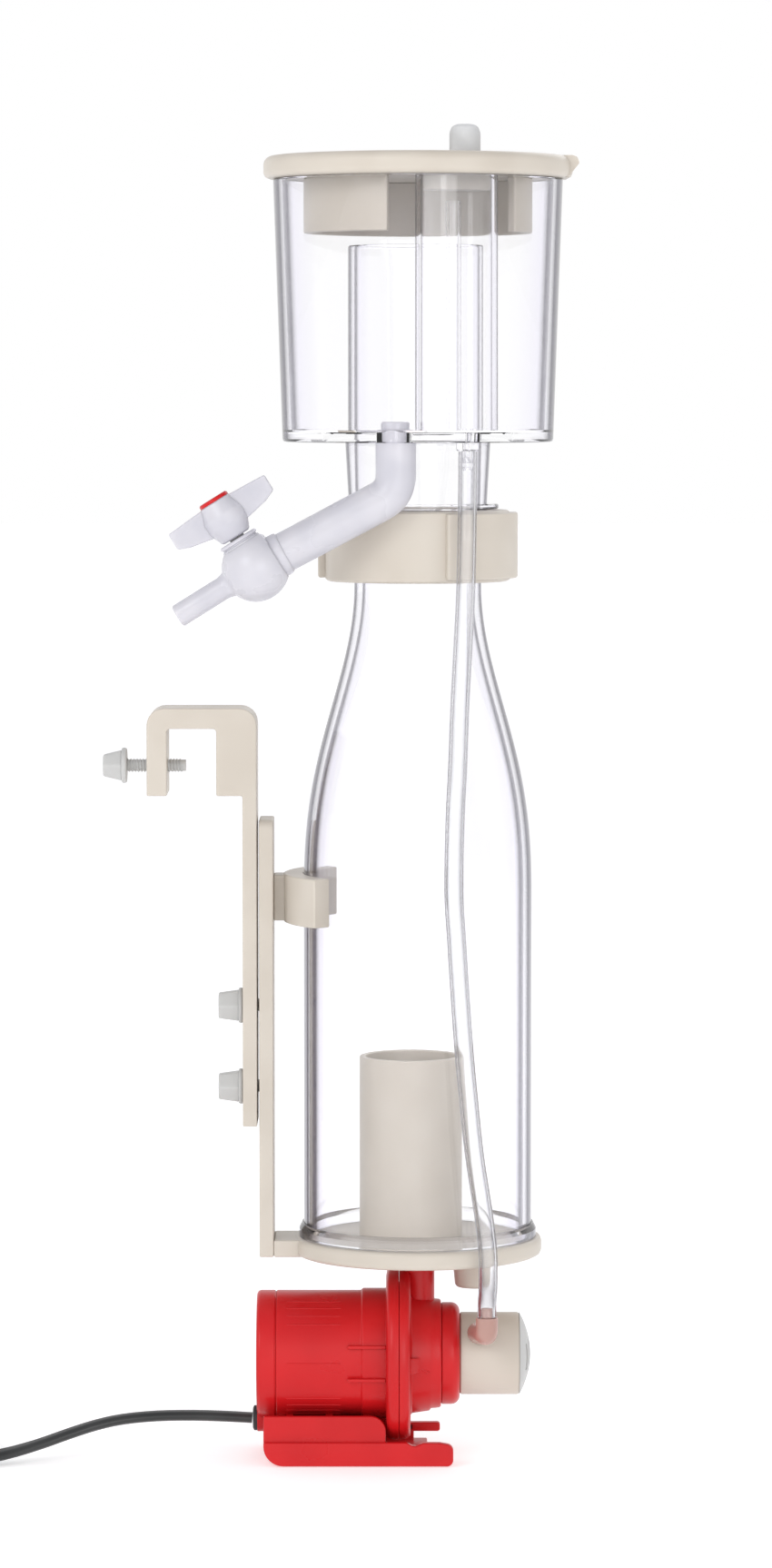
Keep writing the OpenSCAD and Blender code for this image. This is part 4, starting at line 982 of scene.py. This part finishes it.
# %% Cup, riser and neck
cup_low, cup_high = mm_box("collection_cup")
cup_wall, riser_bore = 2.6, 18.6
cup_bm = bmesh.new()
turned(
    cup_bm,
    [(riser_bore, cup_low.z), (38.7, cup_low.z), (39.3, cup_low.z + 0.25), (39.55, cup_low.z + 0.9),
     (cup_high.x, cup_high.z), (cup_high.x - cup_wall, cup_high.z), (37.0, cup_low.z + 3.6),
     (36.4, cup_low.z + 3.0), (riser_bore, cup_low.z + 3)],
    steps=144,
)
soften(cup_bm, 0.3, 2, 60)
cup = finished(cup_bm, "waste_cup", "cup", acrylic, ["collection_cup"])
drain_x, drain_y = -6.5, -31.3
barb_low, barb_high = mm_box("air_barb")
barb_x, barb_y = (barb_low.x + barb_high.x) / 2, (barb_low.y + barb_high.y) / 2
holes_bm = bmesh.new()
turned(holes_bm, [(0, 297), (5.02, 297), (5.02, 303.2), (0, 303.2)], at(drain_x, drain_y, 0), 64)
turned(holes_bm, [(0, 297), (2.02, 297), (2.02, 303.2), (0, 303.2)], at(barb_x, barb_y, 0), 40)
cut_out(cup, holes_bm)

riser_bm = bmesh.new()
tube_low, tube_high = mm_box("cup_riser")
turned(
    riser_bm,
    [(riser_bore, tube_low.z), (20.4, tube_low.z), (20.4, tube_high.z), (riser_bore, tube_high.z)],
    steps=120,
)
soften(riser_bm, 0.6, 3, 60)
finished(riser_bm, "foam_riser", "cup", acrylic, ["cup_riser"])

neck_bm = bmesh.new()
turned(
    neck_bm,
    [(riser_bore, 299), (21.2, 299), (20.2, 281), (23.2, 281), (23.6, 280.7), (23.6, 279.8), (23.2, 279.5),
     (20.2, 279.5), (20.2, 267), (19.7, 266.4), (18.0, 266.4)],
    steps=120,
)
finished(neck_bm, "cup_neck_tube", "cup", acrylic, ["cup_neck"])


# %% Silencer chamber and its tube
def stadium_face(bm, radius, straight, height):
    """A flat face with two round ends, made from a circle that is pulled apart."""
    circle = bmesh.ops.create_circle(bm, cap_ends=True, segments=48, radius=radius)["verts"]
    bmesh.ops.rotate(bm, cent=(0, 0, 0), matrix=Matrix.Rotation(math.radians(3.75), 3, "Z"), verts=circle)
    for side in (-1, 1):
        half = [v for v in circle if v.co.x * side > 0]
        bmesh.ops.translate(bm, vec=(side * straight / 2, 0, 0), verts=half)
    bmesh.ops.translate(bm, vec=(0, 0, height), verts=circle)
    return circle[0].link_faces[0]


silencer_turn = Matrix.Rotation(math.radians(-68.1), 4, "Z")
silencer_frame = silencer_turn @ at(28.7, 0, 0) @ Matrix.Rotation(math.radians(90), 4, "Z")
chamber_bm = bmesh.new()
chamber_low, chamber_high = mm_box("silencer_chamber")
chamber_face = stadium_face(chamber_bm, 7, 10, chamber_low.z)
bmesh.ops.inset_region(
    chamber_bm, faces=[chamber_face], thickness=1.6, use_even_offset=True, use_boundary=True
)
bmesh.ops.delete(chamber_bm, geom=[chamber_face], context="FACES_ONLY")
grown = bmesh.ops.extrude_face_region(chamber_bm, geom=chamber_bm.faces[:])["geom"]
rim_verts = [v for v in grown if isinstance(v, bmesh.types.BMVert)]
bmesh.ops.translate(chamber_bm, vec=(0, 0, chamber_high.z - chamber_low.z), verts=rim_verts)
bmesh.ops.transform(chamber_bm, matrix=silencer_frame, verts=chamber_bm.verts)
soften(chamber_bm, 0.2, 2, 60)
finished(chamber_bm, "silencer_case", "cup", acrylic, ["silencer_chamber"])

inner_tube_bm = bmesh.new()
inner_low, inner_high = mm_box("silencer_tube")
turned(
    inner_tube_bm, [(1.3, inner_low.z), (2, inner_low.z), (2, inner_high.z), (1.3, inner_high.z)],
    silencer_frame @ at(-1, 0, 0), 40,
)
finished(inner_tube_bm, "silencer_inner_tube", "cup", acrylic, ["silencer_tube"])

barb_bm = bmesh.new()
turned(
    barb_bm,
    [(0.8, 291), (1.3, 291), (1.6, 292), (1.6, 293.2), (1.35, 293.3), (1.6, 294.6), (1.6, 296.6), (3, 296.6),
     (3.3, 297), (3.3, 299), (2, 299), (2, 303), (0.8, 303)],
    at(barb_x, barb_y, 0), 40,
)
finished(barb_bm, "hose_barb", "cup", acrylic, ["air_barb"])

# %% [markdown]
# ## The drain cock
# A milky pipe bends out from under the cup to a small tap that empties it. The pipe is a round skin swept
# along a line with one eased corner. The tap is a ball on a stepped pipe, both turned round the flow's own
# axis, and a bonnet, a hub and two wings follow the stem's axis, which leans by the same angle.

# %% Drain pipe
drain_tilt, tap_tilt = math.radians(28), math.radians(32)
bend = Vector((drain_x, drain_y, 284.6))
flow = Vector((-math.cos(drain_tilt), 0, -math.sin(drain_tilt)))
ball = bend + flow * 45.5
ease = 5.2
drain_line = [Vector((drain_x, drain_y, 299)), Vector((drain_x, drain_y, 294))]
drain_line += eased_corner(bend, bend + Vector((0, 0, ease)), bend + flow * ease, 8)
drain_line += [bend + flow * step for step in (12, 20, 28, 36.5)]
drain_bm = bmesh.new()
swept(drain_bm, drain_line, 5.8, 3.0, 48)
turned(drain_bm, [(3.0, 298.8), (4, 298.8), (4, 304.6), (3.6, 305), (3.0, 305)], at(drain_x, drain_y, 0), 48)
soften(drain_bm, 0.3, 2, 60)
finished(drain_bm, "drain_bend", "cup", milky, ["drain_elbow"])

grommet_bm = bmesh.new()
turned(
    grommet_bm, [(4.02, 299), (5, 299), (5, 302.6), (4.7, 302.8), (4.02, 302.8)], at(drain_x, drain_y, 0), 64
)
finished(grommet_bm, "drain_seal", "cup", milky, ["drain_grommet"])

# %% Tap body
spout_way = Vector((-math.cos(tap_tilt), 0, -math.sin(tap_tilt)))
stem_way = Vector((-math.sin(tap_tilt), 0, math.cos(tap_tilt)))
flow_frame = along(ball, spout_way)
stem_frame = along(ball, stem_way)
ball_arc = arc(0, 0, 9.8, -44, 66.2, 29)
tap_bm = bmesh.new()
turned(
    tap_bm,
    [(0, 18), (2.3, 19), (2.3, 26.5), (2.9, 26.5), (3.35, 26.0), (3.35, 11), (3.7, 9.6)] + ball_arc[::-1]
    + [(0, -6.8)],
    flow_frame, 72,
)
turned(
    tap_bm, [(5.82, -9.5), (6.2, -9.2), (6.4, -8.6), (6.4, -4.2), (6.0, -3.7), (0, -3.7), (0, -9.5)],
    along(ball, flow), 64,
)
turned(
    tap_bm,
    [(0, 5), (5.9, 5), (5.9, 8.2), (5.4, 8.4), (5.4, 8.8), (5.9, 9.0), (5.9, 9.5), (5.5, 9.9), (0, 9.9)],
    stem_frame, 64,
)
finished(tap_bm, "tap_valve", "cup", milky, ["tap_body"])

# %% Tap handle
handle_bm = bmesh.new()
turned(
    handle_bm,
    [(0, 10.4), (4.4, 10.4), (4.7, 10.9), (6.3, 14.5), (6.4, 15.2), (6.4, 17.8), (6.0, 18.6), (5.0, 21.8),
     (4.5, 22.3), (0, 22.3)],
    stem_frame, 64,
)
wing_outline = [
    (-16.2, 16.2), (-12.6, 14.7), (-6, 13.4), (6, 13.4), (12.6, 14.7), (16.2, 16.2), (16.2, 21.3), (0, 22.3),
    (-16.2, 21.3),
]
wing_frame = Matrix((-spout_way, stem_way, (-spout_way).cross(stem_way))).transposed().to_4x4()
plate(handle_bm, wing_outline, -2, 2, at(*ball) @ wing_frame, {0: 0.6, 5: 0.6, 6: 0.6, 8: 0.6}, 4)
soften(handle_bm, 0.5, 2, 50)
finished(handle_bm, "tap_wings", "tap", milky, ["tap_handle"])

disc_bm = bmesh.new()
turned(disc_bm, [(0, 22.3), (4.6, 22.3), (4.6, 23.0), (4.2, 23.4), (0, 23.4)], stem_frame, 48)
finished(disc_bm, "tap_red_disc", "tap", red, ["tap_disc"])

# %% [markdown]
# ## The lid
# The lid is a thick turned disc with a rounded nose and a finger tab. Under it hangs a ring that centres it
# in the cup. The ring stops short where the silencer stands, so it is spun only part of the way. A small
# stopper closes the silencer, and a grey fluted plug on top lets the air in.

# %% Lid with its tab
lid_low, lid_high = mm_box("lid")
lid_r = -lid_low.x
nose_r = 2.6
nose = arc(lid_r - nose_r, lid_high.z - nose_r, nose_r, 0, 90, 6)
lid_bm = bmesh.new()
turned(
    lid_bm,
    [(0, lid_low.z), (lid_r - 1.6, lid_low.z), (lid_r - 0.5, lid_low.z + 0.5), (lid_r, lid_low.z + 1.6)]
    + nose + [(lid_r - 5.5, lid_high.z - 0.05), (lid_r - 6.5, lid_high.z - 0.7), (0, lid_high.z - 0.7)],
    steps=144,
)
tab_outline = [
    (lid_r - 8, lid_low.z + 0.05), (lid_r - 1.6, lid_low.z + 0.05), (lid_high.x, lid_low.z + 4.2),
    (lid_r + 1.1, lid_high.z - 0.5), (lid_r - 0.4, lid_high.z - 0.02), (lid_r - 6, lid_high.z - 0.02),
]
plate(lid_bm, tab_outline, -9.9, 9.9, SIDE_ON, {2: 0.4, 3: 0.5})
finished(lid_bm, "cup_lid", "lid", cream, ["lid"])

# %% Ring, stopper and silencer plug
skirt_low, skirt_high = mm_box("lid_skirt")
skirt_bm = bmesh.new()
turned(
    skirt_bm,
    [(30.7, skirt_low.z), (33.3, skirt_low.z), (33.3, skirt_high.z), (30.7, skirt_high.z)],
    steps=112, sweep=289.7, start=-35,
)
soften(skirt_bm, 0.5, 2)
finished(skirt_bm, "lid_ring", "lid", cream, ["lid_skirt"])

stopper_low, stopper_high = mm_box("silencer_stopper")
stopper_bm = bmesh.new()
stopper_face = stadium_face(stopper_bm, 5.05, 10, stopper_low.z)
lifted = bmesh.ops.extrude_face_region(stopper_bm, geom=[stopper_face])["geom"]
top_verts = [v for v in lifted if isinstance(v, bmesh.types.BMVert)]
bmesh.ops.translate(stopper_bm, vec=(0, 0, stopper_high.z - stopper_low.z), verts=top_verts)
bmesh.ops.transform(stopper_bm, matrix=silencer_frame, verts=stopper_bm.verts)
soften(stopper_bm, 0.4, 2, 60)
finished(stopper_bm, "silencer_cap", "lid", cream, ["silencer_stopper"])

filter_low, filter_high = mm_box("filter_plug")
filter_x, filter_y = (filter_low.x + filter_high.x) / 2, (filter_low.y + filter_high.y) / 2
filter_bm = bmesh.new()
crown_r, head_r, slices = 3, 4.7, 40
crown = arc(head_r - crown_r, filter_high.z - crown_r, crown_r, 0, 90, 6)
turned(
    filter_bm,
    [(0, filter_low.z), (3, filter_low.z), (3, lid_high.z), (head_r, lid_high.z), (head_r, lid_high.z + 1.5),
     (head_r, lid_high.z + 3.5)] + crown + [(0, filter_high.z)],
    at(filter_x, filter_y, 0), slices,
)
walls = [
    f for f in filter_bm.faces
    if f.calc_center_median().z > lid_high.z + 0.2 and abs(f.normal.z) < 0.5
]


def slice_of(face):
    """The number of the slice, round the plug's axis, that a face lies in."""
    middle = face.calc_center_median()
    turn = math.atan2(middle.y - filter_y, middle.x - filter_x)
    return round(turn / math.radians(360 / slices) - 0.5)


flutes = [f for f in walls if slice_of(f) % 2 == 0]
flute_depth = 0.05
for v in {v for f in flutes for v in f.verts}:
    v.co += Vector((filter_x - v.co.x, filter_y - v.co.y, 0)) * flute_depth
finished(filter_bm, "air_filter_plug", "filter", grey_foam, ["filter_plug"], smooth=20)

# %% [markdown]
# ## The pump
# The red pump lies on its side: a motor can, a flange and a stepped volute that ends in a nozzle. All of it
# is turned round the pump's own axis, which runs along X, and then a few small things are added: fine ribs
# on the can, two latch ridges and the outlet tube that goes up into the base.

# %% Motor can and end
pump_z = 30.5
pump_frame = along((0, 0, pump_z), (1, 0, 0))
can_r, flange_r = 18.6, 25.3
motor_bm = bmesh.new()
turned(
    motor_bm,
    [(16.8, -41.5), (can_r, -41.5), (can_r, -16.6), (can_r + 0.6, -16.2), (can_r + 0.6, -9.3),
     (flange_r - 2.6, -9.3), (flange_r - 1.0, -9.0), (flange_r - 0.2, -8.2), (flange_r, -7.2),
     (flange_r, -5.5), (8.6, -5.5), (8.6, -29.0), (0, -29.0), (0, -30.2), (9.8, -30.2), (9.8, -10.8),
     (16.8, -10.8)],
    pump_frame, 144,
)
# The ribs leave a band free on each side of the middle one.
for angle in (-63, -54, -45, -36, 0, 36, 45, 54, 63):
    lean = at(0, 0, pump_z) @ Matrix.Rotation(math.radians(angle), 4, "X") @ SIDE_ON
    rib = plate(motor_bm, box_outline(-38.5, -0.25, -22.5, 0.25), can_r - 0.4, can_r + 0.14)
    bmesh.ops.transform(motor_bm, matrix=lean, verts=rib)
for side in (-4.9, 4.9):
    latch = box_outline(-20.5, pump_z + side - 0.5, -9.3, pump_z + side + 0.5)
    plate(motor_bm, latch, can_r - 2.0, can_r + 0.85, SIDE_ON, {0: 0.3, 3: 0.3})
soften(motor_bm, 0.25, 2, 50)
finished(motor_bm, "motor_can", "skimmer", red, ["motor_housing"])

end_low, end_high = mm_box("motor_end_cap")
lead_z = 11.2
end_bm = bmesh.new()
turned(
    end_bm,
    [(0, end_low.x), (14.5, end_low.x), (14.8, end_low.x + 0.5), (15.4, end_low.x + 0.5), (15.8, end_low.x),
     (17.6, end_low.x), (18.3, end_low.x + 0.4), (can_r, end_low.x + 1.2), (can_r, end_high.x - 0.5),
     (can_r - 0.35, end_high.x - 0.4), (can_r - 0.35, end_high.x), (0, end_high.x)],
    pump_frame, 120,
)
lead_frame = along((0, 0, lead_z), (1, 0, 0))
turned(end_bm, [(0, end_low.x), (4, end_low.x), (4, end_high.x), (0, end_high.x)], lead_frame, 48)
plate(end_bm, box_outline(end_low.x, -4, end_high.x, 4), lead_z, 16.2)
soften(end_bm, 0.3, 2, 60)
finished(end_bm, "motor_end", "skimmer", red, ["motor_end_cap"])

# %% Volute and its outlet tube
volute_bm = bmesh.new()
turned(
    volute_bm,
    [(14.2, -5.4), (flange_r, -5.4), (flange_r, -4.0), (flange_r - 0.3, -2.9), (flange_r - 1.2, -2.1),
     (18.2, -2.1), (17.6, -1.5), (16.9, 3.4), (16.2, 4.0), (16.0, 6.4), (15.6, 6.9), (14.2, 6.9)],
    pump_frame, 144,
)
turned(volute_bm, [(3.2, 44.5), (4.8, 44.5), (4.8, 64.4), (4.4, 64.8), (3.2, 64.8)], at(0.2, 0, 0), 64)
for turn, reach in ((35, 1.0), (150, 0.8), (265, 0.8)):
    turned(volute_bm, [(17, -2.2), (20.2, -2.2), (19.4, -1.2), (17, 0.8)], pump_frame, 10, 14, turn)
relief_frame = at(5.2, 0, 34.5) @ Matrix.Rotation(math.radians(90), 4, "X")
turned(volute_bm, [(6.9, 15.4), (7.6, 15.4), (7.6, 17.1), (6.9, 17.1)], relief_frame, 20, 76, 180)
soften(volute_bm, 0.2, 2, 60)
finished(volute_bm, "pump_volute", "skimmer", red, ["volute"])

# %% Front cover
cover_bm = bmesh.new()
cover_nose = arc(12.5, 9.9, 2.5, 0, 90, 5)
turned(cover_bm, [(8.6, 6.9), (14.6, 6.9), (15, 7.3)] + cover_nose + [(8.6, 12.4)], pump_frame, 120)
turned(cover_bm, [(12.2, 5.0), (14.1, 5.0), (14.1, 6.9), (12.2, 6.9)], pump_frame)
turned(cover_bm, [(2.92, 5.6), (4.2, 5.6), (4.2, 8.4), (2.92, 8.4)], pump_frame, 48)
for turn in (30, 150, 270):
    arm = plate(cover_bm, box_outline(3.6, -0.8, 9.2, 0.8), 6.9, 8.4)
    bmesh.ops.transform(cover_bm, matrix=pump_frame @ Matrix.Rotation(math.radians(turn), 4, "Z"), verts=arm)
soften(cover_bm, 0.2, 2, 60)
finished(cover_bm, "pump_cover", "skimmer", red, ["front_cover"])

# %% [markdown]
# ## Nozzle, strainer and air elbow
# Water enters through a cream nozzle whose end is closed by a slotted white dome. The slots are cut out of
# a turned shell with a few plates, which is quicker than modelling the bars between them. The air elbow is
# a short pink barb that feeds the needle wheel.

# %% Nozzle and strainer
nozzle_r, nozzle_end = 12.1, 30
nozzle_bm = bmesh.new()
turned(
    nozzle_bm,
    [(7, 9), (8.58, 9), (8.58, 12.4), (nozzle_r - 0.5, 12.4), (nozzle_r, 12.9), (nozzle_r, nozzle_end - 0.6),
     (nozzle_r - 0.4, nozzle_end), (10.1, nozzle_end), (10.1, 14.4), (7, 14.4)],
    pump_frame, 120,
)
finished(nozzle_bm, "water_nozzle", "skimmer", cream, ["intake_nozzle"])

strainer_tip = mm_box("intake_strainer")[1].x
dome_rise = strainer_tip - nozzle_end
dome_r = (nozzle_r ** 2 + dome_rise ** 2) / (2 * dome_rise)
dome_angle = math.degrees(math.asin(nozzle_r / dome_r))
dome_skin = arc(0, strainer_tip - dome_r, dome_r, 90 - dome_angle, 90, 12)
strainer_bm = bmesh.new()
turned(
    strainer_bm,
    [(0, strainer_tip - 1.5), (8.6, nozzle_end + 0.6), (8.6, 27), (10.08, 27), (10.08, nozzle_end + 0.02),
     (nozzle_r - 0.05, nozzle_end + 0.02)] + dome_skin,
    pump_frame, 120,
)
strainer = finished(strainer_bm, "slotted_dome", "skimmer", nylon, ["intake_strainer"])
slots_bm = bmesh.new()
for k in range(-2, 3):
    reach, middle = 6 - abs(k), 3.4 * k
    slot_outline = box_outline(middle - 0.9, pump_z - reach, middle + 0.9, pump_z + reach)
    plate(slots_bm, slot_outline, 29.5, 35, FACE_ON, all_corners(0.8), 4)
cut_out(strainer, slots_bm)

# %% Air elbow
elbow_top = Vector((20, -27, 40.6))
elbow_root = Vector((17, -8, 38))
elbow_bm = bmesh.new()
elbow_way, elbow_ease = (elbow_root - elbow_top).normalized(), 2.4
elbow_line = [Vector((20, -27, 45.5)), Vector((20, -27, 43.2))]
elbow_line += eased_corner(
    elbow_top, elbow_top + Vector((0, 0, elbow_ease)), elbow_top + elbow_way * elbow_ease, 6
)
elbow_line += [elbow_top.lerp(elbow_root, t) for t in (0.35, 0.55, 0.78)]
swept(elbow_bm, elbow_line, 3.2)
turned(elbow_bm, [(0, 45.3), (1.6, 45.3), (1.6, 48.2), (1.4, 48.5), (0, 48.5)], at(20, -27, 0), 32)
soften(elbow_bm, 0.3, 2, 60)
finished(elbow_bm, "air_inlet_elbow", "skimmer", pink, ["air_elbow"])

# %% [markdown]
# ## The pump's foot
# The foot is a shallow tray with two side walls that cradle the motor and two rails that run on like a
# fork. The sides are plates seen side on, with their corners rounded, and the tray's floor and the saddle
# ribs join them.

# %% Foot
foot_bm = bmesh.new()
foot_left, rail_in, rail_out = -45.2, 15, 18
near_rail = [
    (foot_left, 0), (10.4, 0), (10.4, 6.2), (6.4, 6.9), (1.6, 6.9), (-1.0, 5.7), (-3.4, 7), (foot_left, 7),
]
near_cradle = [(foot_left, 5.9), (-9.4, 5.9), (-9.4, 14.6), (foot_left, 14.6)]
plate(foot_bm, near_rail, rail_in, rail_out, SIDE_ON, {0: 5.8, 1: 1.8, 2: 1.6, 5: 1.0}, 8)
plate(foot_bm, near_cradle, 14.9, 16.8, SIDE_ON, {2: 4.4, 3: 0.6}, 8)
far_side = [(foot_left, 0), (-1, 0), (-1, 6.8), (-9.0, 7), (-9.6, 14.6), (foot_left, 14.6)]
plate(foot_bm, far_side, -rail_out, -rail_in, SIDE_ON, {0: 5.8, 4: 4.4, 5: 0.6}, 8)
plate(foot_bm, box_outline(-6, 4.3, 6.8, 7), -rail_out, -rail_in, SIDE_ON, {1: 0.8, 2: 0.8})
tray_half_wide = rail_in + 0.5
tray = [
    (foot_left + 0.1, 0.1), (3, 0.1), (3, 2.4), (foot_left + 6.2, 2.4), (foot_left + 6.2, 6.7),
    (foot_left + 0.1, 6.7),
]
plate(foot_bm, tray, -tray_half_wide, tray_half_wide, SIDE_ON, {0: 5.7}, 8)
soften(foot_bm, 0.45, 2, 40)
finished(foot_bm, "pump_cradle", "skimmer", red, ["pump_foot"])
ribs_bm = bmesh.new()
for x in (-38.6, -27, -16):
    plate(ribs_bm, box_outline(x, 2, x + 2, 13.9), -tray_half_wide, tray_half_wide, SIDE_ON)
ribs = finished(ribs_bm, "cradle_ribs", "skimmer", red)
saddle_bm = bmesh.new()
saddle_r, wide_saddle_r = can_r + 0.05, can_r + 0.7
turned(
    saddle_bm,
    [(0, -60), (saddle_r, -60), (saddle_r, -20), (wide_saddle_r, -20), (wide_saddle_r, 20), (0, 20)],
    pump_frame,
)
cut_out(ribs, saddle_bm)

# %% Cord gland
gland_bm = bmesh.new()
turned(gland_bm, [(0, -48.6), (3.0, -48.6), (3.7, -48.2), (3.7, -47.3), (0, -47.3)], lead_frame, 40)
finished(gland_bm, "lead_gland", "skimmer", black_rubber, ["cord_grommet"])

# %% [markdown]
# ## Parts that stay as the CAD made them
# The rotor, the stator, some seals and the tap's plug are out of sight, and their CAD shapes are already
# right. They only need a finish, which goes into their own material slots. Replacing them would add nothing
# that anyone can see.

# %% Finishes for the kept nodes
kept_finishes = {
    "stator_core": steel, "stator_coil": copper, "potting_resin": resin, "rotor_magnet": magnet,
    "impeller": cream, "ceramic_shaft": ceramic, "shaft_bushes": black_rubber, "volute_seal": black_rubber,
    "outlet_seal": black_rubber, "tap_plug": nylon,
}
for node_name, node_finish in kept_finishes.items():
    node = frame["nodes"][node_name]
    node.data.materials.clear()
    node.data.materials.append(node_finish)
shown = [name for name, node in frame["nodes"].items() if not node.hide_render]
print("kept nodes:", sorted(shown), "without a finish:", sorted(set(shown) - set(kept_finishes)))
